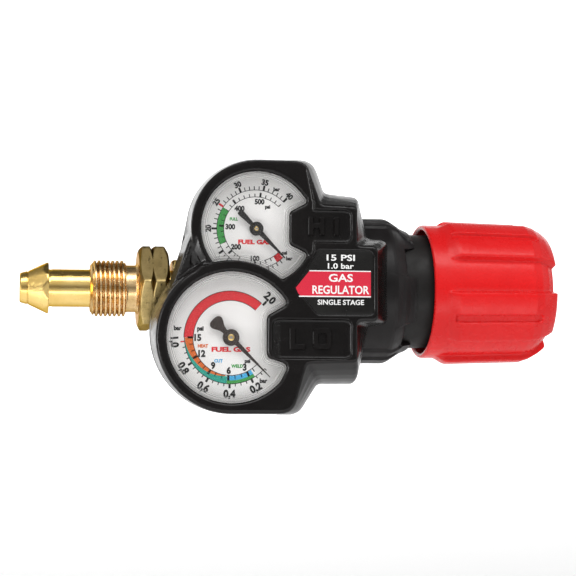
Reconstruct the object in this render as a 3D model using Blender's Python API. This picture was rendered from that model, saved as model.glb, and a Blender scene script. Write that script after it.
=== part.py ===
"""Single-stage fuel-gas pressure regulator with two built-in gauges, as a bench assembly.

Frame: the origin is the tip of the inlet nipple on the main axis. +X runs along that axis to the
adjusting knob, the gauges face -Y, and +Z is up. Dimensions below are in millimetres, and every
mesh is made in metres through MM.
"""

import math

import bmesh
import bpy
from mathutils import Vector

MM = 0.001
GAP = 0.3  # clearance between two separate pieces that rest on each other
FINE, ROUND, SMALL = 36, 24, 12  # sides of large, medium and tiny turned pieces

# Inlet: bull-nose nipple and left-hand nut, thread .885-14
NOSE_LENGTH = 11.4
NOSE_RADIUS = 10.2
NOSE_FLATS = 19.05
STEM_RADIUS = 7.5
NIPPLE_BORE = 3.0
NUT_START, NUT_END = 27.8, 58.7
NUT_BORE = 7.8
NUT_THREAD_END = 41.9
THREAD_RADIUS = 11.24
THREAD_PITCH = 1.814
NUT_HEX_START = 46.7
NUT_FLATS = 31.75
NUT_TURN = 6.0  # degrees that the nut's corners are turned from the horizontal

# Brass body, in stations along X
COLLAR_START, COLLAR_END = 60.4, 65.0
TAIL_END = 80.0
BODY_START, BODY_END = 65.3, 124.5
BODY_RADIUS = 20.0
BOWL_START = 104.0
BOWL_RADIUS = 27.0
LEDGE = 116.3
CHAMBER_RADIUS = 18.5
RECESS_RADIUS = 22.6
VALVE_BORE = 9.1
BOSS_FACE_Y = -20.4

# Bonnet, adjusting screw and knob
BONNET_START, BONNET_END = 118.9, 188.0
BONNET_RADIUS = 23.4
BONNET_BORE = 19.0
SCREW_RADIUS = 5.85
SCREW_TIP = 171.3
KNOB_START, KNOB_END = 162.9, 215.8
KNOB_COLLAR_RADIUS = 27.6
KNOB_BORE = 25.3
KNOB_LOBE_RADIUS = 30.3
KNOB_LOBES = 5
KNOB_LOBE_DEGREES = 43.0
KNOB_FIRST_LOBE = -25.0  # degrees from -Y towards +Z to the centre of the lobe at the front

# Gauges, as (x, z) centres; each gauge's depths are counted back from its own front face
LOW_CENTRE, LOW_RADIUS, LOW_FACE = (80.0, -20.6), 25.0, -42.0
HIGH_CENTRE, HIGH_RADIUS, HIGH_FACE = (90.0, 21.5), 21.8, -40.5
LOW_RING, HIGH_RING = 29.2, 25.9
LOW_NEEDLE, HIGH_NEEDLE = 20.4, 15.9
FRONT_WALL = 2.5
POINTER_AT, DIAL_AT = 4.6, 6.6
PLATE_AT, HAIRSPRING_AT, GEAR_AT, BACK_PLATE_AT = 8.4, 9.5, 10.2, 11.7
TUBE_AT = 16.2
GEAR_THICK = 1.0
PINION_TEETH, SECTOR_TEETH, GEAR_MODULE = 8, 48, 0.4
PINION_PITCH = GEAR_MODULE * PINION_TEETH / 2
SECTOR_PITCH = GEAR_MODULE * SECTOR_TEETH / 2
SECTOR_DROP = PINION_PITCH + SECTOR_PITCH
TAIL_LENGTH = 2.5
TAIL_ANGLE = 274.0
ZERO_ANGLE = -45.0  # degrees from +X to a pointer that reads zero

# Moulded housing
PARTING_Y = -18.0
BACK_Y = 31.0
WALL = 2.5
SHROUD_RADIUS = 29.7
SHROUD_START, SHROUD_END = 127.0, 157.3
SHROUD_NOTCHES = (25.0, 135.0, 205.0, 315.0)  # degrees from -Y towards +Z
SCREW_POSTS = ((106.0, 43.2), (104.0, -43.2), (121.6, 32.0), (121.6, -32.6))
SCREW_SEAT_Y = 1.0

# Outlet and relief valve, on the back of the bowl
PORT_X = 112.0
RELIEF_Z = 17.0
OUTLET_END_Y = 52.0

MATERIALS = {
    "brass": ((0.78, 0.57, 0.25), 0.28, 1.0),
    "steel": ((0.62, 0.62, 0.63), 0.3, 1.0),
    "bronze": ((0.5, 0.33, 0.18), 0.7, 1.0),
    "black_plastic": ((0.012, 0.012, 0.013), 0.35, 0.0),
    "black_metal": ((0.02, 0.02, 0.02), 0.5, 0.0),
    "red_plastic": ((0.75, 0.03, 0.03), 0.3, 0.0),
    "clear_plastic": ((0.9, 0.92, 0.92), 0.05, 0.0),
    "white_enamel": ((0.85, 0.85, 0.83), 0.4, 0.0),
    "rubber": ((0.03, 0.03, 0.03), 0.8, 0.0),
    "label_print": ((0.02, 0.02, 0.02), 0.25, 0.0),
    "pointer_black": ((0.02, 0.015, 0.015), 0.4, 0.0),
}


# ---------------------------------------------------------------- modelling helpers


def material(name):
    found = bpy.data.materials.get(name)
    if found:
        return found
    colour, roughness, metallic = MATERIALS[name]
    made = bpy.data.materials.new(name)
    made.use_nodes = True
    shader = made.node_tree.nodes["Principled BSDF"]
    shader.inputs["Base Color"].default_value = (*colour, 1.0)
    shader.inputs["Roughness"].default_value = roughness
    shader.inputs["Metallic"].default_value = metallic
    return made


def solid(name, rings, finish, looped=False, pivot=(0, 0, 0)):
    """A closed body skinned over rings of points; looped joins the last ring to the first."""
    origin = Vector(pivot)
    bm = bmesh.new()
    rows = [[bm.verts.new((Vector(p) - origin) * MM) for p in ring] for ring in rings]
    pairs = list(zip(rows, rows[1:]))
    if looped:
        pairs.append((rows[-1], rows[0]))
    for a, b in pairs:
        for i in range(len(a)):
            j = (i + 1) % len(a)
            bm.faces.new((a[i], a[j], b[j], b[i]))
    if not looped:
        bm.faces.new(rows[0])
        bm.faces.new(rows[-1])
    bmesh.ops.recalc_face_normals(bm, faces=bm.faces)
    mesh = bpy.data.meshes.new(name)
    bm.to_mesh(mesh)
    bm.free()
    mesh.shade_smooth()
    mesh.set_sharp_from_angle(angle=math.radians(35))
    made = bpy.data.objects.new(name, mesh)
    made.location = origin * MM
    mesh.materials.append(material(finish))
    bpy.context.scene.collection.objects.link(made)
    return made


def circle(axis, centre, along, radius, sides, turn=0.0):
    """A ring of points round a line along X or Y. radius is a number or a function of the angle."""
    points = []
    for i in range(sides):
        degrees = turn + 360.0 * i / sides
        size = radius(degrees) if callable(radius) else radius
        a, b = size * math.cos(math.radians(degrees)), size * math.sin(math.radians(degrees))
        if axis == "X":
            points.append((along, centre[0] - a, centre[1] + b))
        else:
            points.append((centre[0] + a, along, centre[1] + b))
    return points


def turned(name, axis, centre, profile, finish, sides=ROUND, bored=False, pivot=(0, 0, 0), turn=0.0):
    """A turned piece. profile lists (along, radius); bored profiles are closed loops round the bore."""
    rings = [circle(axis, centre, along, radius, sides, turn) for along, radius in profile]
    return solid(name, rings, finish, bored, pivot)


def hexed(limit, flats, corner=0.0):
    """A radius function for a hexagon of that size across its flats, cut to a turned radius."""

    def radius(degrees):
        off = (degrees - corner - 30.0 + 30.0) % 60.0 - 30.0
        return min(limit, flats / 2 / math.cos(math.radians(abs(off) - 30.0)))

    return radius


def prism(name, outline, y0, y1, finish, pivot=(0, 0, 0)):
    """An (x, z) outline extruded along Y."""
    rings = [[(x, y, z) for x, z in outline] for y in (y0, y1)]
    return solid(name, rings, finish, pivot=pivot)


def rod(name, axis, centre, start, end, radius, finish, sides=ROUND):
    return turned(name, axis, centre, [(start, radius), (end, radius)], finish, sides)


def helper(made):
    made.hide_render = True
    made.display_type = "WIRE"
    return made


def combine(target, other, operation):
    step = target.modifiers.new(other.name, "BOOLEAN")
    step.operation = operation
    step.solver = "EXACT"
    step.object = helper(other)
    return target


def cut(target, *cutters):
    for cutter in cutters:
        combine(target, cutter, "DIFFERENCE")
    return target


def join(target, *others):
    for other in others:
        combine(target, other, "UNION")
    return target


def arc(centre, radius, start, end, step=11.0):
    """Points on an arc, as outline corners with no fillet."""
    count = max(2, round(abs(end - start) / step))
    angles = [math.radians(start + (end - start) * i / count) for i in range(count + 1)]
    return [(centre[0] + radius * math.cos(a), centre[1] + radius * math.sin(a), 0.0) for a in angles]


def rounded(corners, steps=4):
    """An outline from (x, z, fillet radius) corners."""
    points = []
    for i, (x, z, radius) in enumerate(corners):
        here = Vector((x, z))
        before = Vector(corners[i - 1][:2]) - here
        after = Vector(corners[(i + 1) % len(corners)][:2]) - here
        half = before.angle(after) / 2
        if radius <= 0 or half > math.radians(89):
            points.append((x, z))
            continue
        reach = min(radius / math.tan(half), 0.49 * before.length, 0.49 * after.length)
        start, end = here + before.normalized() * reach, here + after.normalized() * reach
        for k in range(steps + 1):
            t = k / steps
            points.append(tuple(start.lerp(here, t).lerp(here.lerp(end, t), t)))
    return points


def grown(outline, distance):
    """The counter-clockwise outline moved outwards by a distance, point by point."""
    moved = []
    for i, point in enumerate(outline):
        here = Vector(point)
        into = (here - Vector(outline[i - 1])).normalized()
        out = (Vector(outline[(i + 1) % len(outline)]) - here).normalized()
        normal = Vector((into.y + out.y, -into.x - out.x)).normalized()
        stretch = 1 / max(0.5, normal.dot(Vector((into.y, -into.x))))
        moved.append(tuple(here + normal * distance * stretch))
    return moved


def coil(name, axis, centre, start, end, radius, wire, turns, finish, steps=14, sides=6):
    """A compression spring as one swept tube."""
    rings = []
    count = round(turns * steps)
    for i in range(count + 1):
        share = i / count
        a = 2 * math.pi * turns * share
        along = start + (end - start) * share
        ring = []
        for k in range(sides):
            b = 2 * math.pi * k / sides
            size = radius + wire * math.cos(b)
            at = along + wire * math.sin(b)
            if axis == "X":
                ring.append((at, centre[0] + size * math.cos(a), centre[1] + size * math.sin(a)))
            else:
                ring.append((centre[0] + size * math.cos(a), at, centre[1] + size * math.sin(a)))
        rings.append(ring)
    return solid(name, rings, finish)


# ---------------------------------------------------------------- inlet


def make_nipple():
    nose = [(0.0, 5.5), (0.5, 6.0), (3.2, 6.7), (7.0, 8.4), (10.6, NOSE_RADIUS)]
    rings = [circle("X", (0, 0), x, hexed(r, NOSE_FLATS, 21.0), ROUND) for x, r in nose]
    rings.append(circle("X", (0, 0), NOSE_LENGTH, hexed(NOSE_RADIUS, NOSE_FLATS, 21.0), ROUND))
    rings += [circle("X", (0, 0), x, STEM_RADIUS, ROUND) for x in (NOSE_LENGTH, COLLAR_START)]
    collar = hexed(12.4, 22.0, NUT_TURN)
    rings += [circle("X", (0, 0), x, collar, ROUND) for x in (COLLAR_START, COLLAR_END)]
    tail = [(COLLAR_END, 6.6), (TAIL_END, 6.6), (TAIL_END, 4.9), (70.0, 4.9), (70.0, NIPPLE_BORE)]
    tail.append((0.0, NIPPLE_BORE))
    rings += [circle("X", (0, 0), x, r, ROUND) for x, r in tail]
    solid("inlet_nipple", rings, "brass", looped=True)
    rod("inlet_filter", "X", (0, 0), 70.5, 79.0, 4.6, "bronze", SMALL)


def make_nut():
    pivot = (NUT_START, 0, 0)
    minor = THREAD_RADIUS - 0.613 * THREAD_PITCH
    profile = [(NUT_START, minor - 0.4)]
    ridges = int((NUT_THREAD_END - NUT_START) / THREAD_PITCH)
    for k in range(ridges):
        root = NUT_START + 0.5 + k * THREAD_PITCH
        profile += [(root, minor), (root + THREAD_PITCH / 2, THREAD_RADIUS)]
    profile += [(NUT_THREAD_END, 9.4), (NUT_HEX_START, 9.4)]
    crown = NUT_FLATS / math.sqrt(3)
    notch = (NUT_HEX_START + NUT_END) / 2 - 0.6
    across = [(NUT_HEX_START, 15.2), (48.2, crown), (notch - 1.1, crown), (notch, crown - 2.1)]
    across += [(notch + 1.1, crown), (56.9, crown), (NUT_END, 15.2)]
    rings = [circle("X", (0, 0), x, r, 24, NUT_TURN) for x, r in profile]
    rings += [circle("X", (0, 0), x, hexed(r, NUT_FLATS, NUT_TURN), 24, NUT_TURN) for x, r in across]
    rings += [circle("X", (0, 0), x, NUT_BORE, 24, NUT_TURN) for x in (NUT_END, NUT_START)]
    solid("inlet_nut", rings, "brass", looped=True, pivot=pivot)


# ---------------------------------------------------------------- brass body and valve


def make_body():
    loop = [(BODY_START, 6.9), (BODY_START, 12.5), (77.5, 12.5), (79.5, BODY_RADIUS)]
    loop += [(BOWL_START - 2, BODY_RADIUS), (BOWL_START + 2, BOWL_RADIUS), (BODY_END, BOWL_RADIUS)]
    loop += [(BODY_END, RECESS_RADIUS), (LEDGE, RECESS_RADIUS), (LEDGE, CHAMBER_RADIUS)]
    loop += [(108.2, CHAMBER_RADIUS), (108.2, VALVE_BORE), (84.0, VALVE_BORE), (84.0, 2.5)]
    loop += [(TAIL_END + GAP, 2.5), (TAIL_END + GAP, 6.9)]
    body = turned("regulator_body", "X", (0, 0), loop, "brass", ROUND, bored=True)
    port, relief = (PORT_X, 0.0), (PORT_X, RELIEF_Z)
    for name, centre in (("high", HIGH_CENTRE), ("low", LOW_CENTRE)):
        join(body, rod(f"{name}_boss", "Y", centre, BOSS_FACE_Y, 4.0, 8.5, "brass", 16))
    join(body, rod("outlet_boss", "Y", port, 23.2, 30.4, 9.4, "brass", 16))
    join(body, rod("relief_boss", "Y", relief, 20.4, 30.4, 6.4, "brass", 16))
    for name, centre in (("high", HIGH_CENTRE), ("low", LOW_CENTRE)):
        cut(body, rod(f"{name}_socket_bore", "Y", centre, BOSS_FACE_Y - 3, -6.0, 5.9, "brass", 16))
    cut(body, rod("outlet_bore", "Y", port, 24.0, 33.0, 6.6, "brass", 16))
    cut(body, rod("outlet_passage", "Y", port, 12.0, 25.0, 3.0, "brass", SMALL))
    cut(body, rod("relief_bore", "Y", relief, 23.6, 33.0, 4.9, "brass", 16))
    cut(body, rod("relief_passage", "Y", relief, 3.0, 25.0, 1.8, "brass", SMALL))
    cut(body, rod("low_passage", "X", (-8.0, -15.0), 80.0, 110.0, 1.4, "brass", 12))
    cut(body, box("high_passage", (88.7, 91.3), (-10.3, -7.7), (4.0, 20.0), "brass"))


def make_valve():
    nozzle = [(99.9, 2.3), (99.9, 3.4), (101.2, 3.6), (101.2, 8.8), (107.9, 8.8), (107.9, 2.3)]
    turned("seat_nozzle", "X", (0, 0), nozzle, "brass", 24, bored=True)
    poppet = [(86.5, 1.9), (92.6, 1.9), (92.6, 5.2), (98.4, 5.2), (99.5, 4.0), (99.6, 1.5), (116.2, 1.5)]
    turned("valve_poppet", "X", (0, 0), poppet, "steel", SMALL, pivot=(99.6, 0, 0))
    coil("poppet_spring", "X", (0, 0), 85.0, 91.8, 3.4, 0.5, 4.5, "steel", 9, 4)
    rod("diaphragm", "X", (0, 0), LEDGE + GAP, LEDGE + 1.1, 22.2, "rubber")
    ring = [(117.7, 17.2), (117.7, 22.2), (118.6, 22.2), (118.6, 17.2)]
    turned("slip_ring", "X", (0, 0), ring, "steel", ROUND, bored=True)
    rod("diaphragm_plate", "X", (0, 0), 117.7, 119.9, 15.5, "steel")


# ---------------------------------------------------------------- bonnet, spring and knob


def make_bonnet():
    loop = [(BONNET_START, BONNET_BORE), (BONNET_START, 22.3), (124.8, 22.3), (124.8, BONNET_RADIUS)]
    loop += [(BONNET_END - 1.5, BONNET_RADIUS), (BONNET_END, BONNET_RADIUS - 1.5), (BONNET_END, 9.0)]
    loop += [(191.5, 9.0), (191.5, SCREW_RADIUS + 0.15), (183.5, SCREW_RADIUS + 0.15), (183.5, BONNET_BORE)]
    turned("bonnet", "X", (0, 0), loop, "black_metal", ROUND, bored=True)
    lower = [(120.2, 15.8), (123.6, 15.8), (123.6, 10.6), (126.6, 9.8)]
    turned("lower_spring_button", "X", (0, 0), lower, "steel", 24, pivot=(120.2, 0, 0))
    upper = [(164.8, 9.8), (167.6, 10.6), (167.6, 15.8), (171.0, 15.8)]
    turned("upper_spring_button", "X", (0, 0), upper, "steel", 24, pivot=(SCREW_TIP, 0, 0))
    coil("range_spring", "X", (0, 0), 125.8, 165.4, 13.3, 1.8, 6.0, "steel", 14, 5)
    screw = [(SCREW_TIP, 3.0), (173.5, SCREW_RADIUS), (205.4, SCREW_RADIUS)]
    rings = [circle("X", (0, 0), x, r, 24) for x, r in screw]
    rings += [circle("X", (0, 0), x, hexed(9.5, 16.0), 24) for x in (205.4, 210.4)]
    solid("adjusting_screw", rings, "steel", pivot=(SCREW_TIP, 0, 0))


def lobe_share(degrees):
    """How far the knob's skin stands out at this angle: 0 in a valley, 1 on a lobe."""
    pitch = 360.0 / KNOB_LOBES
    off = abs((degrees - KNOB_FIRST_LOBE + pitch / 2) % pitch - pitch / 2)
    flank = 2.4
    return min(1.0, max(0.0, (KNOB_LOBE_DEGREES / 2 - off) / flank + 0.5)), off


def knob_ring(x, collar, lobe, groove, angles):
    """One ring of the knob: its valley and lobe radii, and how deep the grip groove is."""
    ring = []
    for degrees in angles:
        share, off = lobe_share(degrees)
        radius = collar + (lobe - collar) * share - (groove if off < 2.0 else 0.0)
        a = math.radians(degrees)
        ring.append((x, -radius * math.cos(a), radius * math.sin(a)))
    return ring


def make_knob():
    pitch = 360.0 / KNOB_LOBES
    half = KNOB_LOBE_DEGREES / 2
    spread = (-pitch / 2, -half - 1.3, -half + 1.3, -half * 0.55, -3.2, -1.8, 1.8, 3.2, half * 0.55)
    spread += (half - 1.3, half + 1.3)
    angles = [KNOB_FIRST_LOBE + pitch * k + s for k in range(KNOB_LOBES) for s in spread]
    valley_end, lobe_end = 21.8, 23.6
    stations = [(KNOB_START, 26.0, 26.0, 0), (164.4, KNOB_COLLAR_RADIUS, KNOB_COLLAR_RADIUS, 0)]
    stations += [(170.6, KNOB_COLLAR_RADIUS, KNOB_COLLAR_RADIUS, 0)]
    stations += [(176.4, KNOB_COLLAR_RADIUS, KNOB_LOBE_RADIUS, 0.5), (205.0, 26.8, 29.4, 0.7)]
    stations += [(208.8, 25.8, 28.0, 0.4), (KNOB_END, valley_end, lobe_end, 0)]
    rings = [knob_ring(*station, angles) for station in stations]
    # From here on the skin is the inside of the cup, then the bore and the hexagon pocket.
    inside = [(KNOB_END, 18.3), (211.2, 18.3), (211.2, 9.8), (205.1, 9.8), (205.1, 6.2)]
    inside += [(198.0, 6.2), (198.0, 23.6), (195.0, KNOB_BORE), (KNOB_START, KNOB_BORE)]
    for x, r in inside:
        rings.append([(x, -r * math.cos(math.radians(a)), r * math.sin(math.radians(a))) for a in angles])
    solid("knob", rings, "red_plastic", looped=True, pivot=(KNOB_START, 0, 0))
    cap = [(211.5, 18.0), (214.6, 18.0), (215.4, 17.2)]
    turned("knob_cap", "X", (0, 0), cap, "red_plastic", ROUND, pivot=(KNOB_START, 0, 0))


# ---------------------------------------------------------------- outlet and relief valve


def make_ports():
    centre = (PORT_X, 0.0)
    tail = [(24.3, 3.0), (24.3, 6.3), (31.4, 6.3)]
    rings = [circle("Y", centre, y, r, 18) for y, r in tail]
    rings += [circle("Y", centre, y, hexed(9.9, 17.46), 18) for y in (31.4, 38.0)]
    rings += [circle("Y", centre, y, 6.4, 18) for y in (38.0, 39.5)]
    pitch = 25.4 / 18
    for k in range(7):
        root = 39.5 + k * pitch * 1.18
        for y, r in ((root + pitch / 2, 7.14), (root + pitch, 6.4)):
            rings.append(circle("Y", centre, y, r, 18))
    rings += [circle("Y", centre, OUTLET_END_Y, r, 18) for r in (6.3, 5.2)]
    rings.append(circle("Y", centre, 48.0, 3.2, 18))
    rings.append(circle("Y", centre, 26.0, 3.0, 18))
    solid("outlet_fitting", rings, "brass", looped=True)

    centre = (PORT_X, RELIEF_Z)
    rings = [circle("Y", centre, y, r, 18) for y, r in ((24.0, 1.6), (24.0, 4.6), (31.4, 4.6))]
    rings += [circle("Y", centre, y, hexed(5.7, 10.2), 18) for y in (31.4, 35.5)]
    rings += [circle("Y", centre, y, 4.9, 18) for y in (35.5, 40.5)]
    rings += [circle("Y", centre, y, 3.4, 18) for y in (40.5, 26.0)]
    rings.append(circle("Y", centre, 26.0, 1.6, 18))
    solid("relief_valve_body", rings, "brass", looped=True)
    poppet = [(26.3, 2.9), (28.3, 2.9), (28.3, 1.4), (30.4, 1.4)]
    turned("relief_poppet", "Y", centre, poppet, "rubber", SMALL, pivot=(PORT_X, 26.3, RELIEF_Z))
    coil("relief_spring", "Y", centre, 29.2, 36.3, 2.3, 0.4, 4.5, "steel", 9, 4)
    plug = [(37.0, 0.9), (37.0, 3.2), (39.8, 3.2), (39.8, 0.9)]
    turned("relief_plug", "Y", centre, plug, "brass", SMALL, bored=True)


# ---------------------------------------------------------------- gauges


def low_window(distance=0.0):
    """The low-pressure lens opening: a circle with a notch for the name plate."""
    cx, cz = LOW_CENTRE
    edge = [(cx + 13.2, cz + 8.3, 2.6), (cx + 21.6, cz + 13.0, 2.6)]
    edge += arc(LOW_CENTRE, LOW_RADIUS, 42, 318)
    edge += [(cx + 22.0, cz - 10.4, 3.0), (cx + 13.2, cz - 7.9, 2.6)]
    return grown(rounded(edge), distance)


def high_window(distance=0.0):
    """The high-pressure lens opening: a circle cut by the other gauge's ring and by the name plate."""
    cx, cz = HIGH_CENTRE
    edge = [(cx + 12.2, cz + 6.4, 2.4), (cx + 19.7, cz + 10.3, 2.2)]
    edge += arc(HIGH_CENTRE, HIGH_RADIUS, 38, 216)
    edge += arc(LOW_CENTRE, LOW_RING + 0.4, 105.5, 51.5)
    edge += arc(HIGH_CENTRE, HIGH_RADIUS, 296, 322)
    edge += [(cx + 19.6, cz - 10.0, 2.6), (cx + 12.2, cz - 6.4, 2.4)]
    return grown(rounded(edge), distance)


def trapezoid_teeth(centre, pitch_radius, teeth, first, last, start_degrees, direction):
    """Tooth corners round a gear, each tooth a trapezoid with running clearance on both flanks."""
    points = []
    pitch = 360.0 / teeth
    for k in range(first, last + 1):
        at = start_degrees + direction * k * pitch
        for share, radius in ((-0.27, -0.46), (-0.10, 0.36), (0.10, 0.36), (0.27, -0.46)):
            angle = math.radians(at + direction * share * pitch)
            size = pitch_radius + radius * GEAR_MODULE * 2 * 0.9
            points.append((centre[0] + size * math.cos(angle), centre[1] + size * math.sin(angle)))
    return points


def make_sector(prefix, centre, y):
    """Toothed sector with its tail and pivot pin; it swings about the pivot below the pointer."""
    cx, cz = centre[0], centre[1] - SECTOR_DROP
    teeth = trapezoid_teeth((cx, cz), SECTOR_PITCH, SECTOR_TEETH, -1, 7, 90.0, -1)
    outline = teeth[::-1]
    outline += [(cx - 0.9, cz + 8.0), (cx - 1.6, cz + 1.2), (cx - 1.6, cz - 1.0)]
    tail = math.radians(TAIL_ANGLE)
    tx, tz = cx + TAIL_LENGTH * math.cos(tail), cz + TAIL_LENGTH * math.sin(tail)
    outline += [(tx - 1.0, tz - 0.9), (tx + 1.0, tz - 0.9), (cx + 1.6, cz - 1.0), (cx + 2.0, cz + 1.0)]
    near, far = y + GEAR_AT, y + GEAR_AT + GEAR_THICK
    gear = prism(f"{prefix}_sector_gear", outline, near, far, "brass", (cx, near, cz))
    ends = (y + PLATE_AT + 0.1, y + BACK_PLATE_AT + 0.7)
    pin = rod(f"{prefix}_sector_pin", "Y", (cx, cz), *ends, 0.5, "brass", 10)
    join(gear, pin)
    cut(gear, rod(f"{prefix}_tail_hole", "Y", (tx, tz), y + 9, y + 12.5, 0.62, "brass", 10))


def make_movement(prefix, centre, y):
    """Movement plates, pinion arbor, sector, link and hairspring behind one dial."""
    cx, cz = centre
    corners = [(-6.6, -2.2, 1.5), (-3.2, 1.6 - SECTOR_DROP - 2.7, 1.2), (3.2, 1.6 - SECTOR_DROP - 2.7, 1.2)]
    corners += [(6.6, -2.2, 1.5), (6.6, 2.4, 1.5), (-6.6, 2.4, 1.5)]
    outline = rounded([(cx + x, cz + z, r) for x, z, r in corners], 2)
    pivots = (("arbor", (cx, cz)), ("sector", (cx, cz - SECTOR_DROP)))
    for plate, at in (("front", PLATE_AT), ("back", BACK_PLATE_AT)):
        made = prism(f"{prefix}_movement_{plate}_plate", outline, y + at, y + at + 0.8, "brass")
        if plate == "back":
            ends = (y + PLATE_AT + 1.0, y + at + 0.4)
            for side in (-1, 1):
                join(made, rod(f"{prefix}_post_{side}", "Y", (cx + 5 * side, cz), *ends, 0.9, "brass", 10))
        for label, at_xz in pivots:
            hole = f"{prefix}_{plate}_{label}_hole"
            cut(made, rod(hole, "Y", at_xz, y + at - 1, y + at + 2, 0.7, "brass", 10))
    make_sector(prefix, centre, y)
    teeth = trapezoid_teeth(centre, PINION_PITCH, PINION_TEETH, 0, PINION_TEETH - 1, 270.0 + 22.5, 1)
    near, far = y + GEAR_AT, y + GEAR_AT + GEAR_THICK
    pinion = prism(f"{prefix}_pinion_arbor", teeth, near, far, "steel", (cx, near, cz))
    ends = (y + POINTER_AT - 0.3, y + BACK_PLATE_AT + 0.7)
    join(pinion, rod(f"{prefix}_arbor", "Y", centre, *ends, 0.5, "steel", 10))
    make_hairspring(prefix, centre, y)


def make_hairspring(prefix, centre, y):
    """A flat spiral of fine ribbon between the arbor and the front plate."""
    turns, steps, inner, outer = 2.5, 10, 1.1, 3.6
    rings = []
    for i in range(round(turns * steps) + 1):
        share = i / (turns * steps)
        a = 2 * math.pi * turns * share
        size = inner + (outer - inner) * share
        ring = []
        for r, dy in ((size - 0.1, 0.0), (size + 0.1, 0.0), (size + 0.1, 0.5), (size - 0.1, 0.5)):
            at = y + HAIRSPRING_AT + dy
            ring.append((centre[0] + r * math.cos(a), at, centre[1] + r * math.sin(a)))
        rings.append(ring)
    solid(f"{prefix}_hairspring", rings, "steel")


def make_tube(prefix, centre, y, radius):
    """Socket, C-shaped pressure tube, its closed tip and the link to the sector."""
    cx, cz = centre
    front, back = y + 13.9, BOSS_FACE_Y - GAP
    tall = (cz - radius - 2.6, cz + 5.0)
    socket = box(f"{prefix}_gauge_socket", (cx - 4.6, cx + 4.6), (front, back), tall, "brass")
    join(socket, rod(f"{prefix}_socket_pad", "Y", centre, y + 12.8, y + 15.0, 3.9, "brass", SMALL))
    join(socket, rod(f"{prefix}_socket_stem", "Y", centre, back - 1.0, -6.6, 5.6, "brass", 16))
    cut(socket, rod(f"{prefix}_socket_bore", "Y", centre, -12.0, -5.0, 1.5, "brass", 10))
    rings = []
    start, end, steps = 270.0 - math.degrees(math.asin(5.4 / radius)), -30.0, 18
    section = [(-1.3, -1.5), (-0.6, -2.2), (0.6, -2.2), (1.3, -1.5)]
    section += [(-dr, -dy) for dr, dy in section]
    for i in range(steps + 1):
        a = math.radians(start + (end - start) * i / steps)
        ring = []
        for dr, dy in section:
            r = radius + dr
            ring.append((cx + r * math.cos(a), y + TUBE_AT + dy, cz + r * math.sin(a)))
        rings.append(ring)
    solid(f"{prefix}_bourdon_tube", rings, "brass")
    tip_angle = math.radians(end) - 1.9 / radius
    tip = (cx + radius * math.cos(tip_angle), cz + radius * math.sin(tip_angle))
    across = Vector((math.cos(tip_angle), math.sin(tip_angle)))
    along = Vector((-across.y, across.x))
    far = Vector(tip)
    wide, long = across * 1.5, along * 1.4
    corners = (far - wide - long, far + wide - long, far + wide + long, far - wide + long)
    corners = [tuple(c) for c in corners]
    pivot = (tip[0], y + 14.1, tip[1])
    tip_block = prism(f"{prefix}_tube_tip", corners, y + 14.1, y + 18.3, "brass", pivot)
    tail = math.radians(TAIL_ANGLE)
    hold = Vector((cx + TAIL_LENGTH * math.cos(tail), cz - SECTOR_DROP + TAIL_LENGTH * math.sin(tail)))
    run = (far - hold).normalized()
    side = Vector((-run.y, run.x)) * 0.6
    start, end = hold - run * 0.9, far + run * 0.9
    bar = [tuple(c) for c in (start - side, end - side, end + side, start + side)]
    link = prism(f"{prefix}_link", bar, y + 13.0, y + 13.6, "brass", (hold.x, y + 13.0, hold.y))
    join(link, rod(f"{prefix}_link_pin", "Y", tuple(hold), y + 9.9, y + 13.3, 0.35, "brass", 10))
    join(link, rod(f"{prefix}_tip_pin", "Y", tuple(far), y + 13.3, y + 15.0, 0.4, "brass", 10))
    cut(tip_block, rod(f"{prefix}_tip_hole", "Y", tuple(far), y + 13.5, y + 15.4, 0.62, "brass", 10))


def make_pointer(prefix, centre, y, length, tail):
    """Needle with a hub and a counterweight tail, turned to the zero of its dial."""
    a = math.radians(ZERO_ANGLE)
    run, side = Vector((math.cos(a), math.sin(a))), Vector((-math.sin(a), math.cos(a)))
    at = Vector(centre)
    outline = [(length, -0.12), (length, 0.12), (3.0, 0.75), (0.0, 1.2), (-3.0, 0.8)]
    outline += [(x, w) for x, w in tail] + [(x, -w) for x, w in tail[::-1]]
    outline += [(-3.0, -0.8), (0.0, -1.2), (3.0, -0.75)]
    points = [tuple(at + run * x + side * w) for x, w in outline]
    front, back = y + POINTER_AT, y + POINTER_AT + 0.5
    needle = prism(f"{prefix}_pointer", points, front, back, "pointer_black", (centre[0], front, centre[1]))
    black = "pointer_black"
    join(needle, rod(f"{prefix}_pointer_hub", "Y", centre, front - 0.3, back + 0.6, 3.1, black, 24))
    cut(needle, rod(f"{prefix}_pointer_bore", "Y", centre, front - 2, back + 2, 0.7, black, 10))


def make_gauge(prefix, centre, window, y, tube_radius, needle, tail):
    dial = prism(f"{prefix}_dial", window(1.4), y + DIAL_AT, y + DIAL_AT + 0.6, "white_enamel")
    cut(dial, rod(f"{prefix}_dial_hole", "Y", centre, y + 5, y + 9, 1.3, "white_enamel", 12))
    lens = prism(f"{prefix}_lens", window(-0.15), y + 0.9, y + 2.9, "clear_plastic")
    flange = (y + FRONT_WALL + 0.2, y + FRONT_WALL + 1.1)
    join(lens, prism(f"{prefix}_lens_flange", window(0.8), *flange, "clear_plastic"))
    make_pointer(prefix, centre, y, needle, tail)
    make_movement(prefix, centre, y)
    make_tube(prefix, centre, y, tube_radius)


# ---------------------------------------------------------------- moulded housing


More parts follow.
